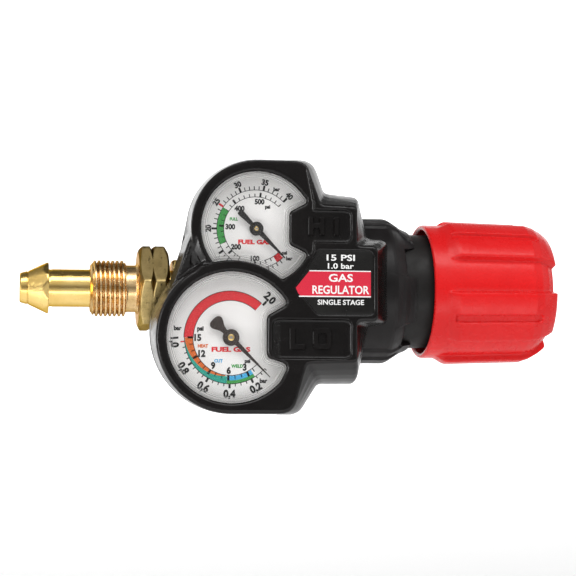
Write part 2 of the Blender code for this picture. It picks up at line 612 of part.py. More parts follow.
def face_outline():
    """The raised front: both gauge rings, the shoulder beside each, and three name-plate blocks."""
    cx, cz = LOW_CENTRE
    hx, hz = HIGH_CENTRE
    edge = [(hx + 18.5, hz + HIGH_RING, 7.0)]
    edge += arc(HIGH_CENTRE, HIGH_RING, 90, 213)
    edge += arc(LOW_CENTRE, LOW_RING, 119, 270)
    edge += [(cx + 23.5, cz - LOW_RING, 7.0), (109.0, -31.0, 2.0), (128.8, -30.4, 2.0), (128.8, -14.6, 1.5)]
    edge += [(137.0, -14.6, 3.0), (137.0, 15.2, 3.0), (128.8, 15.2, 1.5)]
    edge += [(128.8, 30.4, 2.0), (114.5, 31.0, 2.0)]
    return rounded(edge, 3)


def flare_outline():
    """The same corners where the raised front meets the skirt, wider by the moulding's slope."""
    cx, cz = LOW_CENTRE
    hx, hz = HIGH_CENTRE
    edge = [(hx + 24.4, hz + HIGH_RING + 2.8, 7.0)]
    edge += arc((hx + 1.6, hz + 1.4), HIGH_RING + 1.2, 90, 213)
    edge += arc((cx + 1.8, cz + 2.0), LOW_RING + 2.2, 119, 270)
    edge += [(cx + 28.6, cz - LOW_RING - 0.4, 6.0), (116.6, -38.0, 3.0), (131.4, -38.0, 2.5)]
    edge += [(137.0, -15.6, 1.5), (144.8, -14.6, 3.0), (144.8, 19.2, 3.5), (136.6, 19.6, 1.5)]
    edge += [(132.0, 36.0, 2.5), (118.8, 37.4, 3.0)]
    return rounded(edge, 3)


def skirt_outline(distance=0.0):
    """The housing's full outline, where its two shells meet."""
    cx, cz = LOW_CENTRE
    hx, hz = HIGH_CENTRE
    edge = [(hx + 24.8, hz + HIGH_RING + 3.3, 7.5)]
    edge += arc((hx + 2.1, hz + 1.7), HIGH_RING + 1.6, 95, 172)
    edge += [(61.4, 10.0, 8.0), (58.4, 0.0, 8.0)]
    edge += arc((cx + 2.4, cz + 2.7), LOW_RING + 3.0, 163, 264)
    edge += [(cx + 29.0, cz - LOW_RING - 0.8, 6.5), (116.9, -38.4, 3.0), (131.8, -38.4, 2.5)]
    edge += [(135.0, -27.0, 3.0), (137.0, -18.0, 2.0), (137.0, 18.0, 2.0), (135.0, 27.0, 3.0)]
    edge += [(132.4, 36.4, 2.5), (119.2, 37.9, 3.0)]
    return grown(rounded(edge, 2), distance)


def web_outline():
    """The filled corner between the two rings, on the inlet side."""
    edge = [(66.0, 22.0, 1.0), (63.0, 15.0, 4.0), (60.4, 6.5, 4.0), (57.6, -1.5, 4.0), (53.0, -9.0, 1.0)]
    return rounded(edge + [(62.0, -4.0, 1.0), (72.0, 8.0, 1.0)], 3)


def web_front(z):
    return min(-34.8, -39.8 + 0.26 * (20.0 - z))


def box(name, x, y, z, finish="black_plastic"):
    outline = [(x[0], z[0]), (x[1], z[0]), (x[1], z[1]), (x[0], z[1])]
    return prism(name, outline, y[0], y[1], finish)


def plate_recess(name, x, z, y, radius):
    corners = [(x[0], z[0], radius), (x[1], z[0], radius), (x[1], z[1], radius), (x[0], z[1], radius)]
    return prism(name, rounded(corners, 3), y - 3, y + 1.2, "black_plastic")


def label_outline():
    corners = [(113.0, -11.8, 1.0), (134.9, -11.8, 2.0), (134.9, 12.9, 3.0)]
    return rounded(corners + [(113.0, 12.9, 1.5), (104.6, -1.6, 1.0)], 3)


def make_front_shell():
    black, axis = "black_plastic", (0, 0)
    low, high = LOW_FACE, HIGH_FACE
    skirt = [[(x, -24.0, z) for x, z in skirt_outline(-0.8)]]
    skirt.append([(x, PARTING_Y, z) for x, z in skirt_outline()])
    shell = solid("housing_front", skirt, black)
    raised = [[(x, low, z) for x, z in grown(face_outline(), -0.7)]]
    raised.append([(x, low + 0.7, z) for x, z in face_outline()])
    raised.append([(x, -22.0, z) for x, z in flare_outline()])
    join(shell, solid("raised_front", raised, black))
    web = [[(x, web_front(z), z) for x, z in web_outline()], [(x, -22.0, z) for x, z in grown(web_outline(), 1.0)]]
    join(shell, solid("web", web, black))
    step = [(111.5, 31.0, 3)] + arc(HIGH_CENTRE, HIGH_RING + 6.0, 55, 205)
    step += arc(LOW_CENTRE, LOW_RING + 0.05, 112, 48) + [(104.8, 6.5, 2), (111.5, 12.0, 2)]
    cut(shell, prism("high_step", rounded(step, 3), low - 3, high, black))
    cut(shell, prism("low_opening", low_window(), low - 3, low + 4, black))
    cut(shell, prism("high_opening", high_window(), low - 3, high + 4, black))
    cut(shell, prism("low_hollow", low_window(1.6), low + FRONT_WALL, low + DIAL_AT + 1.2, black))
    cut(shell, prism("high_hollow", high_window(1.6), high + FRONT_WALL, high + DIAL_AT + 1.2, black))
    sweep = (high + POINTER_AT - 0.7, high + DIAL_AT)
    cut(shell, rod("high_needle_sweep", "Y", HIGH_CENTRE, *sweep, HIGH_NEEDLE + 0.3, black, FINE))
    cut(shell, rod("low_case", "Y", LOW_CENTRE, low + DIAL_AT + 1.0, 0.0, LOW_RING - 2.4, black, FINE))
    cut(shell, rod("high_case", "Y", HIGH_CENTRE, high + DIAL_AT + 1.0, 0.0, HIGH_RING - 2.3, black, FINE))
    cut(shell, box("core", (100, 131), (-38.6, 0), (-13, 13.5)))
    cut(shell, rod("body_space", "X", axis, 62.0, 150.0, BOWL_RADIUS + 0.6, black, ROUND))
    cut(shell, rod("shroud_space", "X", axis, SHROUD_START - 0.5, 160.0, SHROUD_RADIUS + GAP, black, FINE))
    cut(shell, rod("nut_space", "X", axis, 30.0, 62.5, 19.6, black, ROUND))
    cut(shell, plate_recess("low_plate", (95.3, 126.2), (-28.6, -13.7), low, 2.6))
    cut(shell, plate_recess("high_plate", (104.6, 126.2), (16.1, 28.6), low, 2.6))
    cut(shell, prism("label_recess", grown(label_outline(), 0.25), low - 3, low + 0.6, black))
    for i, centre in enumerate(SCREW_POSTS):
        join(shell, rod(f"front_post_{i}", "Y", centre, -23.0, PARTING_Y, 3.4, "black_plastic", SMALL))
        cut(shell, rod(f"front_pilot_{i}", "Y", centre, -25.5, -10.0, 1.75, "black_plastic", 12))
    prism("label", label_outline(), LOW_FACE + 0.05, LOW_FACE + 0.4, "label_print")


def scaled(outline, share, centre=(97.0, 0.0)):
    return [(centre[0] + (x - centre[0]) * share, centre[1] + (z - centre[1]) * share) for x, z in outline]


def make_rear_shell():
    black, axis = "black_plastic", (0, 0)
    outer = ((PARTING_Y + 0.3, 1.0), (4.0, 0.91), (19.0, 0.8), (28.0, 0.66), (BACK_Y, 0.58))
    inner = ((PARTING_Y - 1.0, 0.945), (4.0, 0.855), (18.0, 0.74), (27.9, 0.6))
    base = skirt_outline()
    rings = [[(x, y, z) for x, z in scaled(base, share)] for y, share in outer]
    shell = solid("housing_rear", rings, "black_plastic")
    hollow = [[(x, y, z) for x, z in scaled(base, share)] for y, share in inner]
    cut(shell, solid("rear_hollow", hollow, "black_plastic"))
    for i, centre in enumerate(SCREW_POSTS):
        ends = (PARTING_Y + 0.3, SCREW_SEAT_Y + 3.0)
        join(shell, rod(f"rear_post_{i}", "Y", centre, *ends, 4.3, black, SMALL))
    for i, centre in enumerate(SCREW_POSTS):
        cut(shell, rod(f"screw_hole_{i}", "Y", centre, -30.0, 10.0, 1.85, black, 12))
        cut(shell, rod(f"screw_counterbore_{i}", "Y", centre, SCREW_SEAT_Y, 32.0, 3.3, black, SMALL))
    opening = (SHROUD_START - 0.5, 160.0)
    cut(shell, rod("rear_shroud_space", "X", axis, *opening, SHROUD_RADIUS + GAP, black, FINE))
    cut(shell, rod("rear_body_space", "X", axis, 76.0, 150.0, BOWL_RADIUS + 0.6, black, ROUND))
    cut(shell, rod("rear_nut_space", "X", axis, 30.0, 62.5, 19.6, black, ROUND))
    cut(shell, rod("inlet_hole", "X", axis, 60.0, 80.0, 13.4, black, ROUND))
    cut(shell, rod("outlet_hole", "Y", (PORT_X, 0.0), 20.0, 40.0, 10.4, black, ROUND))
    cut(shell, rod("relief_hole", "Y", (PORT_X, RELIEF_Z), 20.0, 40.0, 7.0, black, SMALL))


def make_shroud():
    """Sleeve round the bonnet whose outer edge is stepped into claws and tabs."""
    loop = [(SHROUD_START, 27.4), (SHROUD_START, SHROUD_RADIUS), (147.8, SHROUD_RADIUS), (149.6, 28.6)]
    loop += [(151.6, 27.4), (153.6, 26.0), (155.6, 24.9), (SHROUD_END, 24.5), (SHROUD_END, 23.7)]
    loop += [(149.0, 23.7), (146.0, 27.4)]
    shroud = turned("bonnet_shroud", "X", (0, 0), loop, "black_plastic", FINE, bored=True)
    for k, degrees in enumerate(SHROUD_NOTCHES):
        middle = math.radians(degrees)
        y, z = -28.0 * math.cos(middle), 28.0 * math.sin(middle)
        block = [(153.4, 9.0), (160.0, 9.0)]
        name = f"shroud_notch_{k}"
        cut(shroud, turned(name, "X", (y, z), block, "black_plastic", 4, turn=45 - degrees))


def make_screws():
    seat = SCREW_SEAT_Y
    profile = [(-25.0, 0.5), (-23.8, 1.5), (seat + 0.2, 1.5), (seat + 0.2, 2.9), (seat + 2.0, 2.6)]
    for i, centre in enumerate(SCREW_POSTS):
        screw = turned(f"housing_screw_{i + 1}", "Y", centre, profile, "steel", SMALL)
        cut(screw, rod(f"screw_drive_{i}", "Y", centre, seat + 0.9, seat + 4.0, 1.3, "steel", 6))


def main():
    for old in list(bpy.data.objects):
        bpy.data.objects.remove(old, do_unlink=True)
    make_nipple()
    make_nut()
    make_body()
    make_valve()
    make_bonnet()
    make_knob()
    make_ports()
    low_tail = [(-5.4, 1.1), (-8.6, 2.9), (-9.6, 1.4)]
    high_tail = [(-9.4, 0.85), (-9.9, 0.85)]
    make_gauge("low", LOW_CENTRE, low_window, LOW_FACE, 15.0, LOW_NEEDLE, low_tail)
    make_gauge("high", HIGH_CENTRE, high_window, HIGH_FACE, 14.0, HIGH_NEEDLE, high_tail)
    make_front_shell()
    make_rear_shell()
    make_shroud()
    make_screws()


main()
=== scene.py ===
"""Looks for a single-stage fuel-gas regulator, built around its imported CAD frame.

Work is in millimetres through MM, in the CAD frame: +X runs from the inlet nipple to the knob, the
gauges face -Y and +Z is up.
"""

import math

import bmesh
import bpy
import numpy as np
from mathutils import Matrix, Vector


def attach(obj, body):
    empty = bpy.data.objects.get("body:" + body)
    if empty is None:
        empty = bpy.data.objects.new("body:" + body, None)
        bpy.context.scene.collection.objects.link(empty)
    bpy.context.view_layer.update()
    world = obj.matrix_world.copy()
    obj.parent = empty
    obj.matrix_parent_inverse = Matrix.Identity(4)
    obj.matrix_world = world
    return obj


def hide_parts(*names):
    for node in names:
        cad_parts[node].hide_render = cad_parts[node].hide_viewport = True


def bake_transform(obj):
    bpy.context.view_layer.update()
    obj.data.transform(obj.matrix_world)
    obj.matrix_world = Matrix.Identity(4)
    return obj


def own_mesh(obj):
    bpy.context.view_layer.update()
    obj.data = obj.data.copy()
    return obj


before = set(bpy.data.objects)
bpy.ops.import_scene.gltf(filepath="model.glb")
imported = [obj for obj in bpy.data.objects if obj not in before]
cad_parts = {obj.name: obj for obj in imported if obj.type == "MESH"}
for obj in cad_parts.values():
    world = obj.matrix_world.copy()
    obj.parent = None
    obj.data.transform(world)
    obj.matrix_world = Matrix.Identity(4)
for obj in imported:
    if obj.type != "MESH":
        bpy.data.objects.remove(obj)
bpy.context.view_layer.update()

MM = 0.001
LOW, HIGH = (80.0, -20.6), (90.0, 21.5)  # gauge centres, (x, z)
LOW_FACE, HIGH_FACE = -42.0, -40.5
LOW_RING, HIGH_RING = 29.2, 25.9
LOW_LENS, HIGH_LENS = 25.0, 21.8
FRONT_WALL, POINTER_AT, DIAL_AT, TUBE_AT = 2.5, 4.6, 6.6, 16.2  # depths behind a gauge's face
FLARE_BACK, PARTING_Y, BACK_Y = -22.0, -18.0, 31.0
FLARE_BULGE = 0.7  # how far the flared walls round outwards between the front face and the skirt
FACET_START, FACET_REACH = 23.7, 28.8  # radii of the slope between the upper ring and the web
FACET_Y, FACET_SLOPE = -40.2, 0.74
SCREW_POSTS = ((106.0, 43.2), (104.0, -43.2), (121.6, 32.0), (121.6, -32.6))
SCREW_SEAT_Y = 1.0
PORT_X, RELIEF_Z = 112.0, 17.0
NUT_TURN, NUT_FLATS, THREAD_END = 6.0, 31.75, 46.75
KNOB_LOBES, KNOB_FIRST, KNOB_HALF = 5, -25.0, 21.5  # lobes, first lobe's angle, half a lobe's angle
KNOB_COLLAR, KNOB_LOBE, KNOB_END = 27.5, 29.95, 215.5
KNOB_RAMP = (168.7, 174.5)
GROOVE, GROOVE_WIDTH, GROOVE_DEPTH = (171.0, 209.0), 2.0, 1.2
SLEEVE_START, SLEEVE_END, SLEEVE_LIP = 127.0, 157.6, 23.75


# ---- materials


def graph(name):
    made = bpy.data.materials.new(name)
    made.use_nodes = True
    tree = made.node_tree
    return made, tree, tree.nodes["Principled BSDF"]


def add(tree, kind, **settings):
    made = tree.nodes.new(f"ShaderNode{kind}")
    for key, value in settings.items():
        setattr(made, key, value)
    return made


def join(value, node, socket):
    node.id_data.links.new(value, node.inputs[socket])


def fix(node, **sockets):
    """Sets sockets by name, with _ for a space."""
    for socket, value in sockets.items():
        node.inputs[socket.replace("_", " ")].default_value = value


def coordinates(tree, stretch=(1, 1, 1)):
    mapping = add(tree, "Mapping")
    fix(mapping, Scale=stretch)
    join(add(tree, "TexCoord").outputs["Object"], mapping, "Vector")
    return mapping.outputs["Vector"]


def split(tree, vector):
    made = add(tree, "SeparateXYZ")
    join(vector, made, "Vector")
    return made.outputs


def noise(tree, scale, detail=4.0, stretch=(1, 1, 1), rough=0.55):
    made = add(tree, "TexNoise")
    fix(made, Scale=scale, Detail=detail, Roughness=rough)
    join(coordinates(tree, stretch), made, "Vector")
    return made.outputs["Fac"]


def remap(tree, value, low, high, to_low=0.0, to_high=1.0):
    made = add(tree, "MapRange", clamp=True)
    fix(made, From_Min=low, From_Max=high, To_Min=to_low, To_Max=to_high)
    join(value, made, "Value")
    return made.outputs["Result"]


def mixed(tree, share, a, b):
    """Mixes two colours, each a colour value or a socket."""
    made = add(tree, "Mix", data_type="RGBA")
    join(share, made, 0)
    for index, value in ((6, a), (7, b)):
        if isinstance(value, tuple):
            made.inputs[index].default_value = (*value, 1.0)
        else:
            join(value, made, index)
    return made.outputs[2]


def ridge(tree, scale):
    """Fine turning marks: bands across X."""
    made = add(tree, "TexWave", wave_type="BANDS", bands_direction="X")
    fix(made, Scale=scale, Distortion=1.2, Detail=3.0, Detail_Scale=2.0)
    join(coordinates(tree), made, "Vector")
    return made.outputs["Fac"]


def bumped(tree, shader, layers):
    """Chains bump nodes; each layer is (height socket, strength, distance in metres)."""
    normal = None
    for height, strength, distance in layers:
        made = add(tree, "Bump")
        fix(made, Strength=strength, Distance=distance)
        join(height, made, "Height")
        if normal is not None:
            join(normal, made, "Normal")
        normal = made.outputs["Normal"]
    join(normal, shader, "Normal")


def metal(name, light, dark, rough, marks=0.0, mottle=60.0, speck=0.0, lay=(0.5, 3.0, 3.0), painted_top_shade=None):
    """Mottled metal. marks: scale of turning marks; lay: stretch of scratches; painted_top_shade: a colour
    painted over the top as shade.
    """
    made, tree, shader = graph(name)
    shader.inputs["Specular Tint"].default_value = (*(c * 0.75 for c in dark), 1.0)
    shader.inputs["Metallic"].default_value = 1.0
    colour = mixed(tree, remap(tree, noise(tree, mottle, 5.0), 0.35, 0.7), light, dark)
    # Painted shade: the colour turns darker towards the top (object Z from 1 to 3 mm), standing for the shade
    # on the upper side.
    if painted_top_shade:
        height = split(tree, coordinates(tree))["Z"]
        colour = mixed(tree, remap(tree, height, 0.001, 0.003, 0.0, 0.8), colour, painted_top_shade)
    if speck:
        dots = remap(tree, noise(tree, 1500.0, 3.0, rough=0.6), 0.5, 0.7, 0.0, speck)
        colour = mixed(tree, dots, colour, tuple(c * 0.3 for c in dark))
    join(colour, shader, "Base Color")
    scratch = noise(tree, 420.0, 3.0, lay)
    join(remap(tree, scratch, 0.3, 0.75, rough * 0.7, rough * 1.5), shader, "Roughness")
    layers = [(noise(tree, 900.0, 3.0), 0.08, 0.00003), (scratch, 0.06, 0.00003)]
    if marks:
        layers.append((ridge(tree, marks), 0.25, 0.00003))
    bumped(tree, shader, layers)
    return made


def plastic(name, light, dark, rough, grain=1400.0, relief=0.12, specular=0.5):
    made, tree, shader = graph(name)
    clouds = noise(tree, 45.0)
    join(mixed(tree, remap(tree, clouds, 0.3, 0.7), light, dark), shader, "Base Color")
    wear = noise(tree, 180.0, 5.0, (1.0, 0.6, 1.4))
    join(remap(tree, wear, 0.3, 0.75, rough * 0.8, rough * 1.3), shader, "Roughness")
    shader.inputs["Specular IOR Level"].default_value = specular
    bumped(tree, shader, [(noise(tree, grain, 3.0), relief, 0.00004), (clouds, 0.04, 0.0002)])
    return made


def ink(name, *colour):
    made, tree, shader = graph(f"ink_{name}")
    grain = noise(tree, 2500.0, 2.0)
    shade = tuple(c * 0.82 for c in colour)
    join(mixed(tree, remap(tree, grain, 0.35, 0.65), colour, shade), shader, "Base Color")
    join(remap(tree, grain, 0.3, 0.7, 0.45, 0.57), shader, "Roughness")
    return made


def clear(name, least, most):
    """Clear moulding: its cover goes from least, seen square on, to most, seen edge on."""
    made, tree, shader = graph(name)
    haze = noise(tree, 120.0, 5.0)
    join(mixed(tree, haze, (0.62, 0.62, 0.61), (0.50, 0.50, 0.49)), shader, "Base Color")
    join(remap(tree, haze, 0.35, 0.7, 0.03, 0.09), shader, "Roughness")
    facing = add(tree, "LayerWeight")
    fix(facing, Blend=0.35)
    edge = remap(tree, facing.outputs["Facing"], 0.05, 0.9, least, most)
    join(edge, shader, "Alpha")
    bumped(tree, shader, [(noise(tree, 40.0, 2.0), 0.03, 0.0003)])
    return made


BRASS = metal("brass_polished", (0.93, 0.68, 0.26), (0.80, 0.54, 0.16), 0.2, marks=700.0, mottle=90.0)
BRASS_THREAD = metal("brass_thread", (0.90, 0.66, 0.36), (0.62, 0.42, 0.19), 0.24, mottle=150.0)
# The hex gets a painted shade on its upper side: a darker colour towards the top.
BRASS_HEX = metal("brass_hex", (0.66, 0.50, 0.22), (0.42, 0.31, 0.12), 0.36, mottle=260.0, speck=0.4,
                  lay=(2.0, 1.0, 1.0), painted_top_shade=(0.13, 0.095, 0.04))
BRASS_PLAIN = metal("brass_machined", (0.84, 0.63, 0.28), (0.70, 0.48, 0.17), 0.3, marks=500.0)
STEEL = metal("steel_zinc", (0.62, 0.62, 0.64), (0.42, 0.42, 0.45), 0.32, marks=600.0)
BRONZE = metal("bronze_sintered", (0.55, 0.36, 0.18), (0.34, 0.21, 0.10), 0.6, speck=0.9)
BLACK_METAL = plastic("bonnet_black_paint", (0.0078, 0.0070, 0.0066), (0.0108, 0.0096, 0.0090), 0.5,
                      grain=900.0, relief=0.2, specular=0.24)
BLACK = plastic("housing_black", (0.0042, 0.0036, 0.0035), (0.0062, 0.0052, 0.0050), 0.22,
                relief=0.03, specular=0.27)
BLACK_SLEEVE = plastic("sleeve_black", (0.0052, 0.0040, 0.0042), (0.0078, 0.0060, 0.0062), 0.4,
                       specular=0.24)
RED = plastic("knob_red", (0.70, 0.011, 0.012), (0.66, 0.009, 0.010), 0.27, relief=0.03, specular=0.26)
RUBBER = plastic("rubber_black", (0.020, 0.020, 0.020), (0.035, 0.034, 0.034), 0.75,
                 grain=500.0, relief=0.4, specular=0.3)
DIAL_WHITE = plastic("dial_white", (0.92, 0.905, 0.89), (0.89, 0.875, 0.86), 0.4, relief=0.04)
LABEL_BLACK = plastic("label_black", (0.0045, 0.0042, 0.0038), (0.0065, 0.0060, 0.0055), 0.3,
                      relief=0.03, specular=0.3)
NEEDLE = plastic("needle_brown", (0.035, 0.024, 0.020), (0.026, 0.018, 0.015), 0.4, relief=0.1)
NEEDLE_BLACK = plastic("needle_black", (0.007, 0.006, 0.006), (0.010, 0.009, 0.009), 0.4, relief=0.1)
CLEAR, CLEAR_EDGE = clear("lens_clear", 0.015, 0.3), clear("lens_edge", 0.32, 0.75)
INKS = {name: ink(name, *colour) for name, *colour in (
    ("black", 0.006, 0.006, 0.006), ("red", 0.82, 0.025, 0.035), ("crimson", 0.62, 0.008, 0.035),
    ("orange", 0.80, 0.16, 0.02), ("green", 0.05, 0.36, 0.07), ("teal", 0.02, 0.40, 0.30),
    ("blue", 0.06, 0.45, 0.80), ("white", 0.86, 0.86, 0.85),
)}


# ---- helpers for paths, meshes and objects


def placed(name, data):
    made = bpy.data.objects.new(name, data)
    bpy.context.scene.collection.objects.link(made)
    return made


def baked(made):
    """The mesh of an object with its modifiers or text applied; the object itself goes."""
    mesh = bpy.data.meshes.new_from_object(made.evaluated_get(bpy.context.evaluated_depsgraph_get()))
    bpy.data.objects.remove(made, do_unlink=True)
    return mesh


def finish_mesh(name, mesh, finish, nodes, body="regulator", sharp=32.0):
    mesh.materials.clear()
    mesh.materials.append(finish)
    mesh.shade_smooth()
    mesh.set_sharp_from_angle(angle=math.radians(sharp))
    piece = placed(name, mesh)
    if body:
        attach(piece, body)
    if nodes:
        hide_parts(*nodes)
    return piece


def skinned(name, rings, closed=False):
    """A mesh skinned over rings of points in millimetres. closed joins the last ring to the first."""
    rings = np.asarray(rings, float) * MM
    count, around = rings.shape[:2]
    index = np.arange(count * around).reshape(count, around)
    below = index if closed else index[:-1]
    above = np.roll(index, -1, axis=0) if closed else index[1:]
    quads = np.stack([below, np.roll(below, -1, axis=1), np.roll(above, -1, axis=1), above], axis=-1)
    faces = [tuple(face) for face in quads.reshape(-1, 4).tolist()]
    if not closed:
        faces += [tuple(index[0].tolist()), tuple(index[-1].tolist())]
    mesh = bpy.data.meshes.new(name)
    mesh.from_pydata(rings.reshape(-1, 3).tolist(), [], faces)
    bm = bmesh.new()
    bm.from_mesh(mesh)
    bmesh.ops.recalc_face_normals(bm, faces=bm.faces)
    bm.to_mesh(mesh)
    bm.free()
    return mesh


def filleted(corners, steps=4):
    """A path from corners (a, b) or (a, b, fillet radius)."""
    points = []
    for i, corner in enumerate(corners):
        here, radius = Vector(corner[:2]), corner[2] if len(corner) > 2 else 0.0
        before = Vector(corners[i - 1][:2]) - here
        after = Vector(corners[(i + 1) % len(corners)][:2]) - here
        half = before.angle(after) / 2 if radius > 0 else math.pi / 2
        if half > math.radians(89):
            points.append(tuple(here))
            continue
        reach = min(radius / math.tan(half), 0.49 * before.length, 0.49 * after.length)
        start, end = here + before.normalized() * reach, here + after.normalized() * reach
        for k in range(steps + 1):
            t = k / steps
            points.append(tuple(start.lerp(here, t).lerp(here.lerp(end, t), t)))
    return points


def densified(path, step, closed=False):
    """The same path with extra points, so that no stretch is longer than step."""
    points = []
    ends = path[1:] + path[:1] if closed else path[1:]
    for a, b in zip(path, ends):
        parts = max(1, math.ceil(math.dist(a, b) / step))
        points += [tuple(np.add(a, np.subtract(b, a) * (k / parts))) for k in range(parts)]
    if not closed:
        points.append(path[-1])
    return points


def polar(centre, radius, degrees):
    a = math.radians(degrees)
    return centre[0] + radius * math.cos(a), centre[1] + radius * math.sin(a)


def heading(degrees):
    """Unit vectors along and across a direction."""
    a = math.radians(degrees)
    return Vector((math.cos(a), math.sin(a))), Vector((-math.sin(a), math.cos(a)))


def arc(centre, radius, start, end, step=3.0):
    count = max(2, round(abs(end - start) / step))
    return [(*polar(centre, radius, start + (end - start) * i / count), 0.0) for i in range(count + 1)]


def grown(outline, distance):
    """The counter-clockwise outline moved outwards by a distance, point by point."""
    moved = []
    for i, point in enumerate(outline):
        here = Vector(point)
        into = (here - Vector(outline[i - 1])).normalized()
        out = (Vector(outline[(i + 1) % len(outline)]) - here).normalized()
        normal = Vector((into.y + out.y, -into.x - out.x)).normalized()
        stretch = 1 / max(0.5, normal.dot(Vector((into.y, -into.x))))
        moved.append(tuple(here + normal * distance * stretch))
    return moved


def evenly(count, start=0.0):
    return [start + 360.0 * i / count for i in range(count)]


def spun(path, angles, shape=None, axis="X", centre=(0.0, 0.0)):
    """Rings round an axis. shape(along, radius, degrees) gives the (along, radius) to use at each angle."""
    rings = []
    for along, radius in path:
        ring = []
        for degrees in angles:
            at, size = shape(along, radius, degrees) if shape else (along, radius)
            a = math.radians(degrees)
            if axis == "X":
                ring.append((at, centre[0] - size * math.cos(a), centre[1] + size * math.sin(a)))
            else:
                ring.append((centre[0] + size * math.cos(a), at, centre[1] + size * math.sin(a)))
        rings.append(ring)
    return rings


def eased(t):
    t = min(1.0, max(0.0, t))
    return t * t * (3 - 2 * t)


def soft_min(a, b, width):
    h = max(0.0, 1.0 - abs(a - b) / width)
    return min(a, b) - h * h * width / 4


def hexed(flats, corner, soft=0.25, width=0.25):
    """A shape for spun: the section cut to a hexagonal bar whose corners are eased by soft."""

    def shape(along, radius, degrees):
        off = abs((degrees - corner) % 60.0 - 30.0)
        bar = flats / 2 / math.cos(math.radians(off)) - soft * max(0.0, off - 28.0) / 2.0 * 0.3
        return along, soft_min(radius, bar, width)

    return shape


def loft(name, levels, closed=False):
    """A body through (y, outline) levels whose outlines have equal point counts."""
    return skinned(name, [[(x, y, z) for x, z in outline] for y, outline in levels], closed)


def prism(name, outline, y0, y1):
    return loft(name, [(y0, outline), (y1, outline)])


def box(x, z, radius):
    """The corners of a rectangle over the ranges x and z, for filleted."""
    return [(x[0], z[0], radius), (x[1], z[0], radius), (x[1], z[1], radius), (x[0], z[1], radius)]


def rod(name, axis, centre, start, end, radius, sides=64):
    return skinned(name, spun([(start, radius), (end, radius)], evenly(sides), None, axis, centre))


def funnel(outline, y, depth, spread):
    """A cutter whose mouth widens towards the front."""
    levels = [(y - 1.0, grown(outline, spread + 0.4)), (y, grown(outline, spread)), (y + depth, outline)]
    return loft("funnel", levels)


def bore(start, end, radius, sides=64):
    return rod("bore", "X", (0, 0), start, end, radius, sides)


def cuts(*meshes):
    return [("DIFFERENCE", mesh) for mesh in meshes]


def carved(base, steps, voxel, smooth):
    """Runs Booleans on a mesh, then a voxel remesh that softens every edge as moulding does."""
    work, tools = placed("work", base), []
    for operation, mesh in steps:
        tools.append(placed("tool", mesh))
        step = work.modifiers.new("step", "BOOLEAN")
        step.operation, step.solver, step.object = operation, "MANIFOLD", tools[-1]
    remesh = work.modifiers.new("remesh", "REMESH")
    remesh.mode, remesh.voxel_size = "VOXEL", voxel * MM
    smoothing = work.modifiers.new("smooth", "SMOOTH")
    smoothing.factor, smoothing.iterations = 0.5, smooth
    work.modifiers.new("fewer", "DECIMATE").ratio = 0.4
    shading = work.modifiers.new("shading", "WEIGHTED_NORMAL")
    shading.mode, shading.weight = "FACE_AREA_WITH_ANGLE", 50
    made = baked(work)
    for tool in tools:
        bpy.data.objects.remove(tool, do_unlink=True)
    return made


# ---- inlet nipple and nut


def make_nipple():
    angles = evenly(180)
    nose = [(0.0, 4.9, 0.2), (0.0, 5.45, 0.1), (0.45, 5.95, 0.2), (2.9, 6.6, 0.2), (3.05, 6.4, 0.1)]
    nose += [(3.3, 6.4, 0.1), (3.45, 6.7, 0.1), (10.7, 10.15, 0.3), (11.2, 10.15, 0.2)]
    nose += [(11.4, 9.8, 0.2), (11.4, 7.6, 0.2)]
    rings = spun(densified(filleted(nose), 0.35), angles, hexed(19.05, 21.0))
    stem = [(11.5, 7.5), (12.2, 7.35, 0.3), (13.0, 7.5, 0.3), (26.0, 7.5), (60.4, 7.5)]
    rings += spun(densified(filleted(stem), 2.0), angles)
    collar = [(60.4, 11.4), (61.1, 12.4, 0.2), (64.3, 12.4, 0.2), (65.0, 11.4)]
    rings += spun(densified(filleted(collar), 0.5), angles, hexed(22.0, NUT_TURN))
    tail = [(65.0, 6.6), (80.0, 6.6), (80.0, 4.9), (70.0, 4.9), (70.0, 3.0), (0.6, 3.0), (0.0, 3.6)]
    rings += spun(densified(tail, 6.0), angles)
    mesh = skinned("nipple", rings, closed=True)
    finish_mesh("inlet_nipple_turned", mesh, BRASS, ["inlet_nipple"])


def make_nut():
    pitch, major = 1.814, 11.24
    minor = major - 0.613 * pitch
    start, stop = 27.8, 41.9
    angles = evenly(180, NUT_TURN)

    def thread(along, radius, degrees):
        if not start + 0.4 < along < stop:
            return along, radius
        phase = (along / pitch + degrees / 360.0) % 1.0
        rise = 1 - abs(phase * 2 - 1)
        crest = min(1.0, max(0.0, (rise - 0.1) / 0.5))
        fade = min(1.0, (along - start - 0.4) / 1.4, (stop - along) / 0.5)
        return along, minor + (major - minor) * crest * max(0.0, fade)

    rings = spun(densified([(start, minor - 1.0), (start + 0.7, minor)], 0.3), angles)
    rings += spun(densified([(start + 0.8, minor), (stop, minor)], 0.14), angles, thread)
    neck = [(stop + 0.1, 9.5), (42.6, 9.4, 0.4), (45.8, 9.4, 0.5), (46.7, 10.4)]
    rings += spun(densified(filleted(neck), 0.6), angles)
    crown, notch = NUT_FLATS / math.sqrt(3), 52.1
    across = [(46.7, 14.2), (THREAD_END, 14.8), (48.4, crown), (notch - 1.15, crown), (notch, crown - 2.3)]
    across += [(notch + 1.15, crown), (56.6, crown), (58.65, 14.9), (58.7, 14.3)]
    rings += spun(densified(across, 0.25), angles, hexed(NUT_FLATS, NUT_TURN, 0.5, 0.3))
    rings += spun(densified([(58.7, 8.2), (58.3, 7.8), (28.2, 7.8), (27.8, 8.1)], 8.0), angles)
    mesh = skinned("nut", rings, closed=True)
    piece = finish_mesh("inlet_nut_turned", mesh, BRASS_HEX, ["inlet_nut"], "inlet_nut")
    piece.data.materials.append(BRASS_THREAD)
    for polygon in piece.data.polygons:
        polygon.material_index = int(polygon.center.x < THREAD_END * MM)


# ---- knob


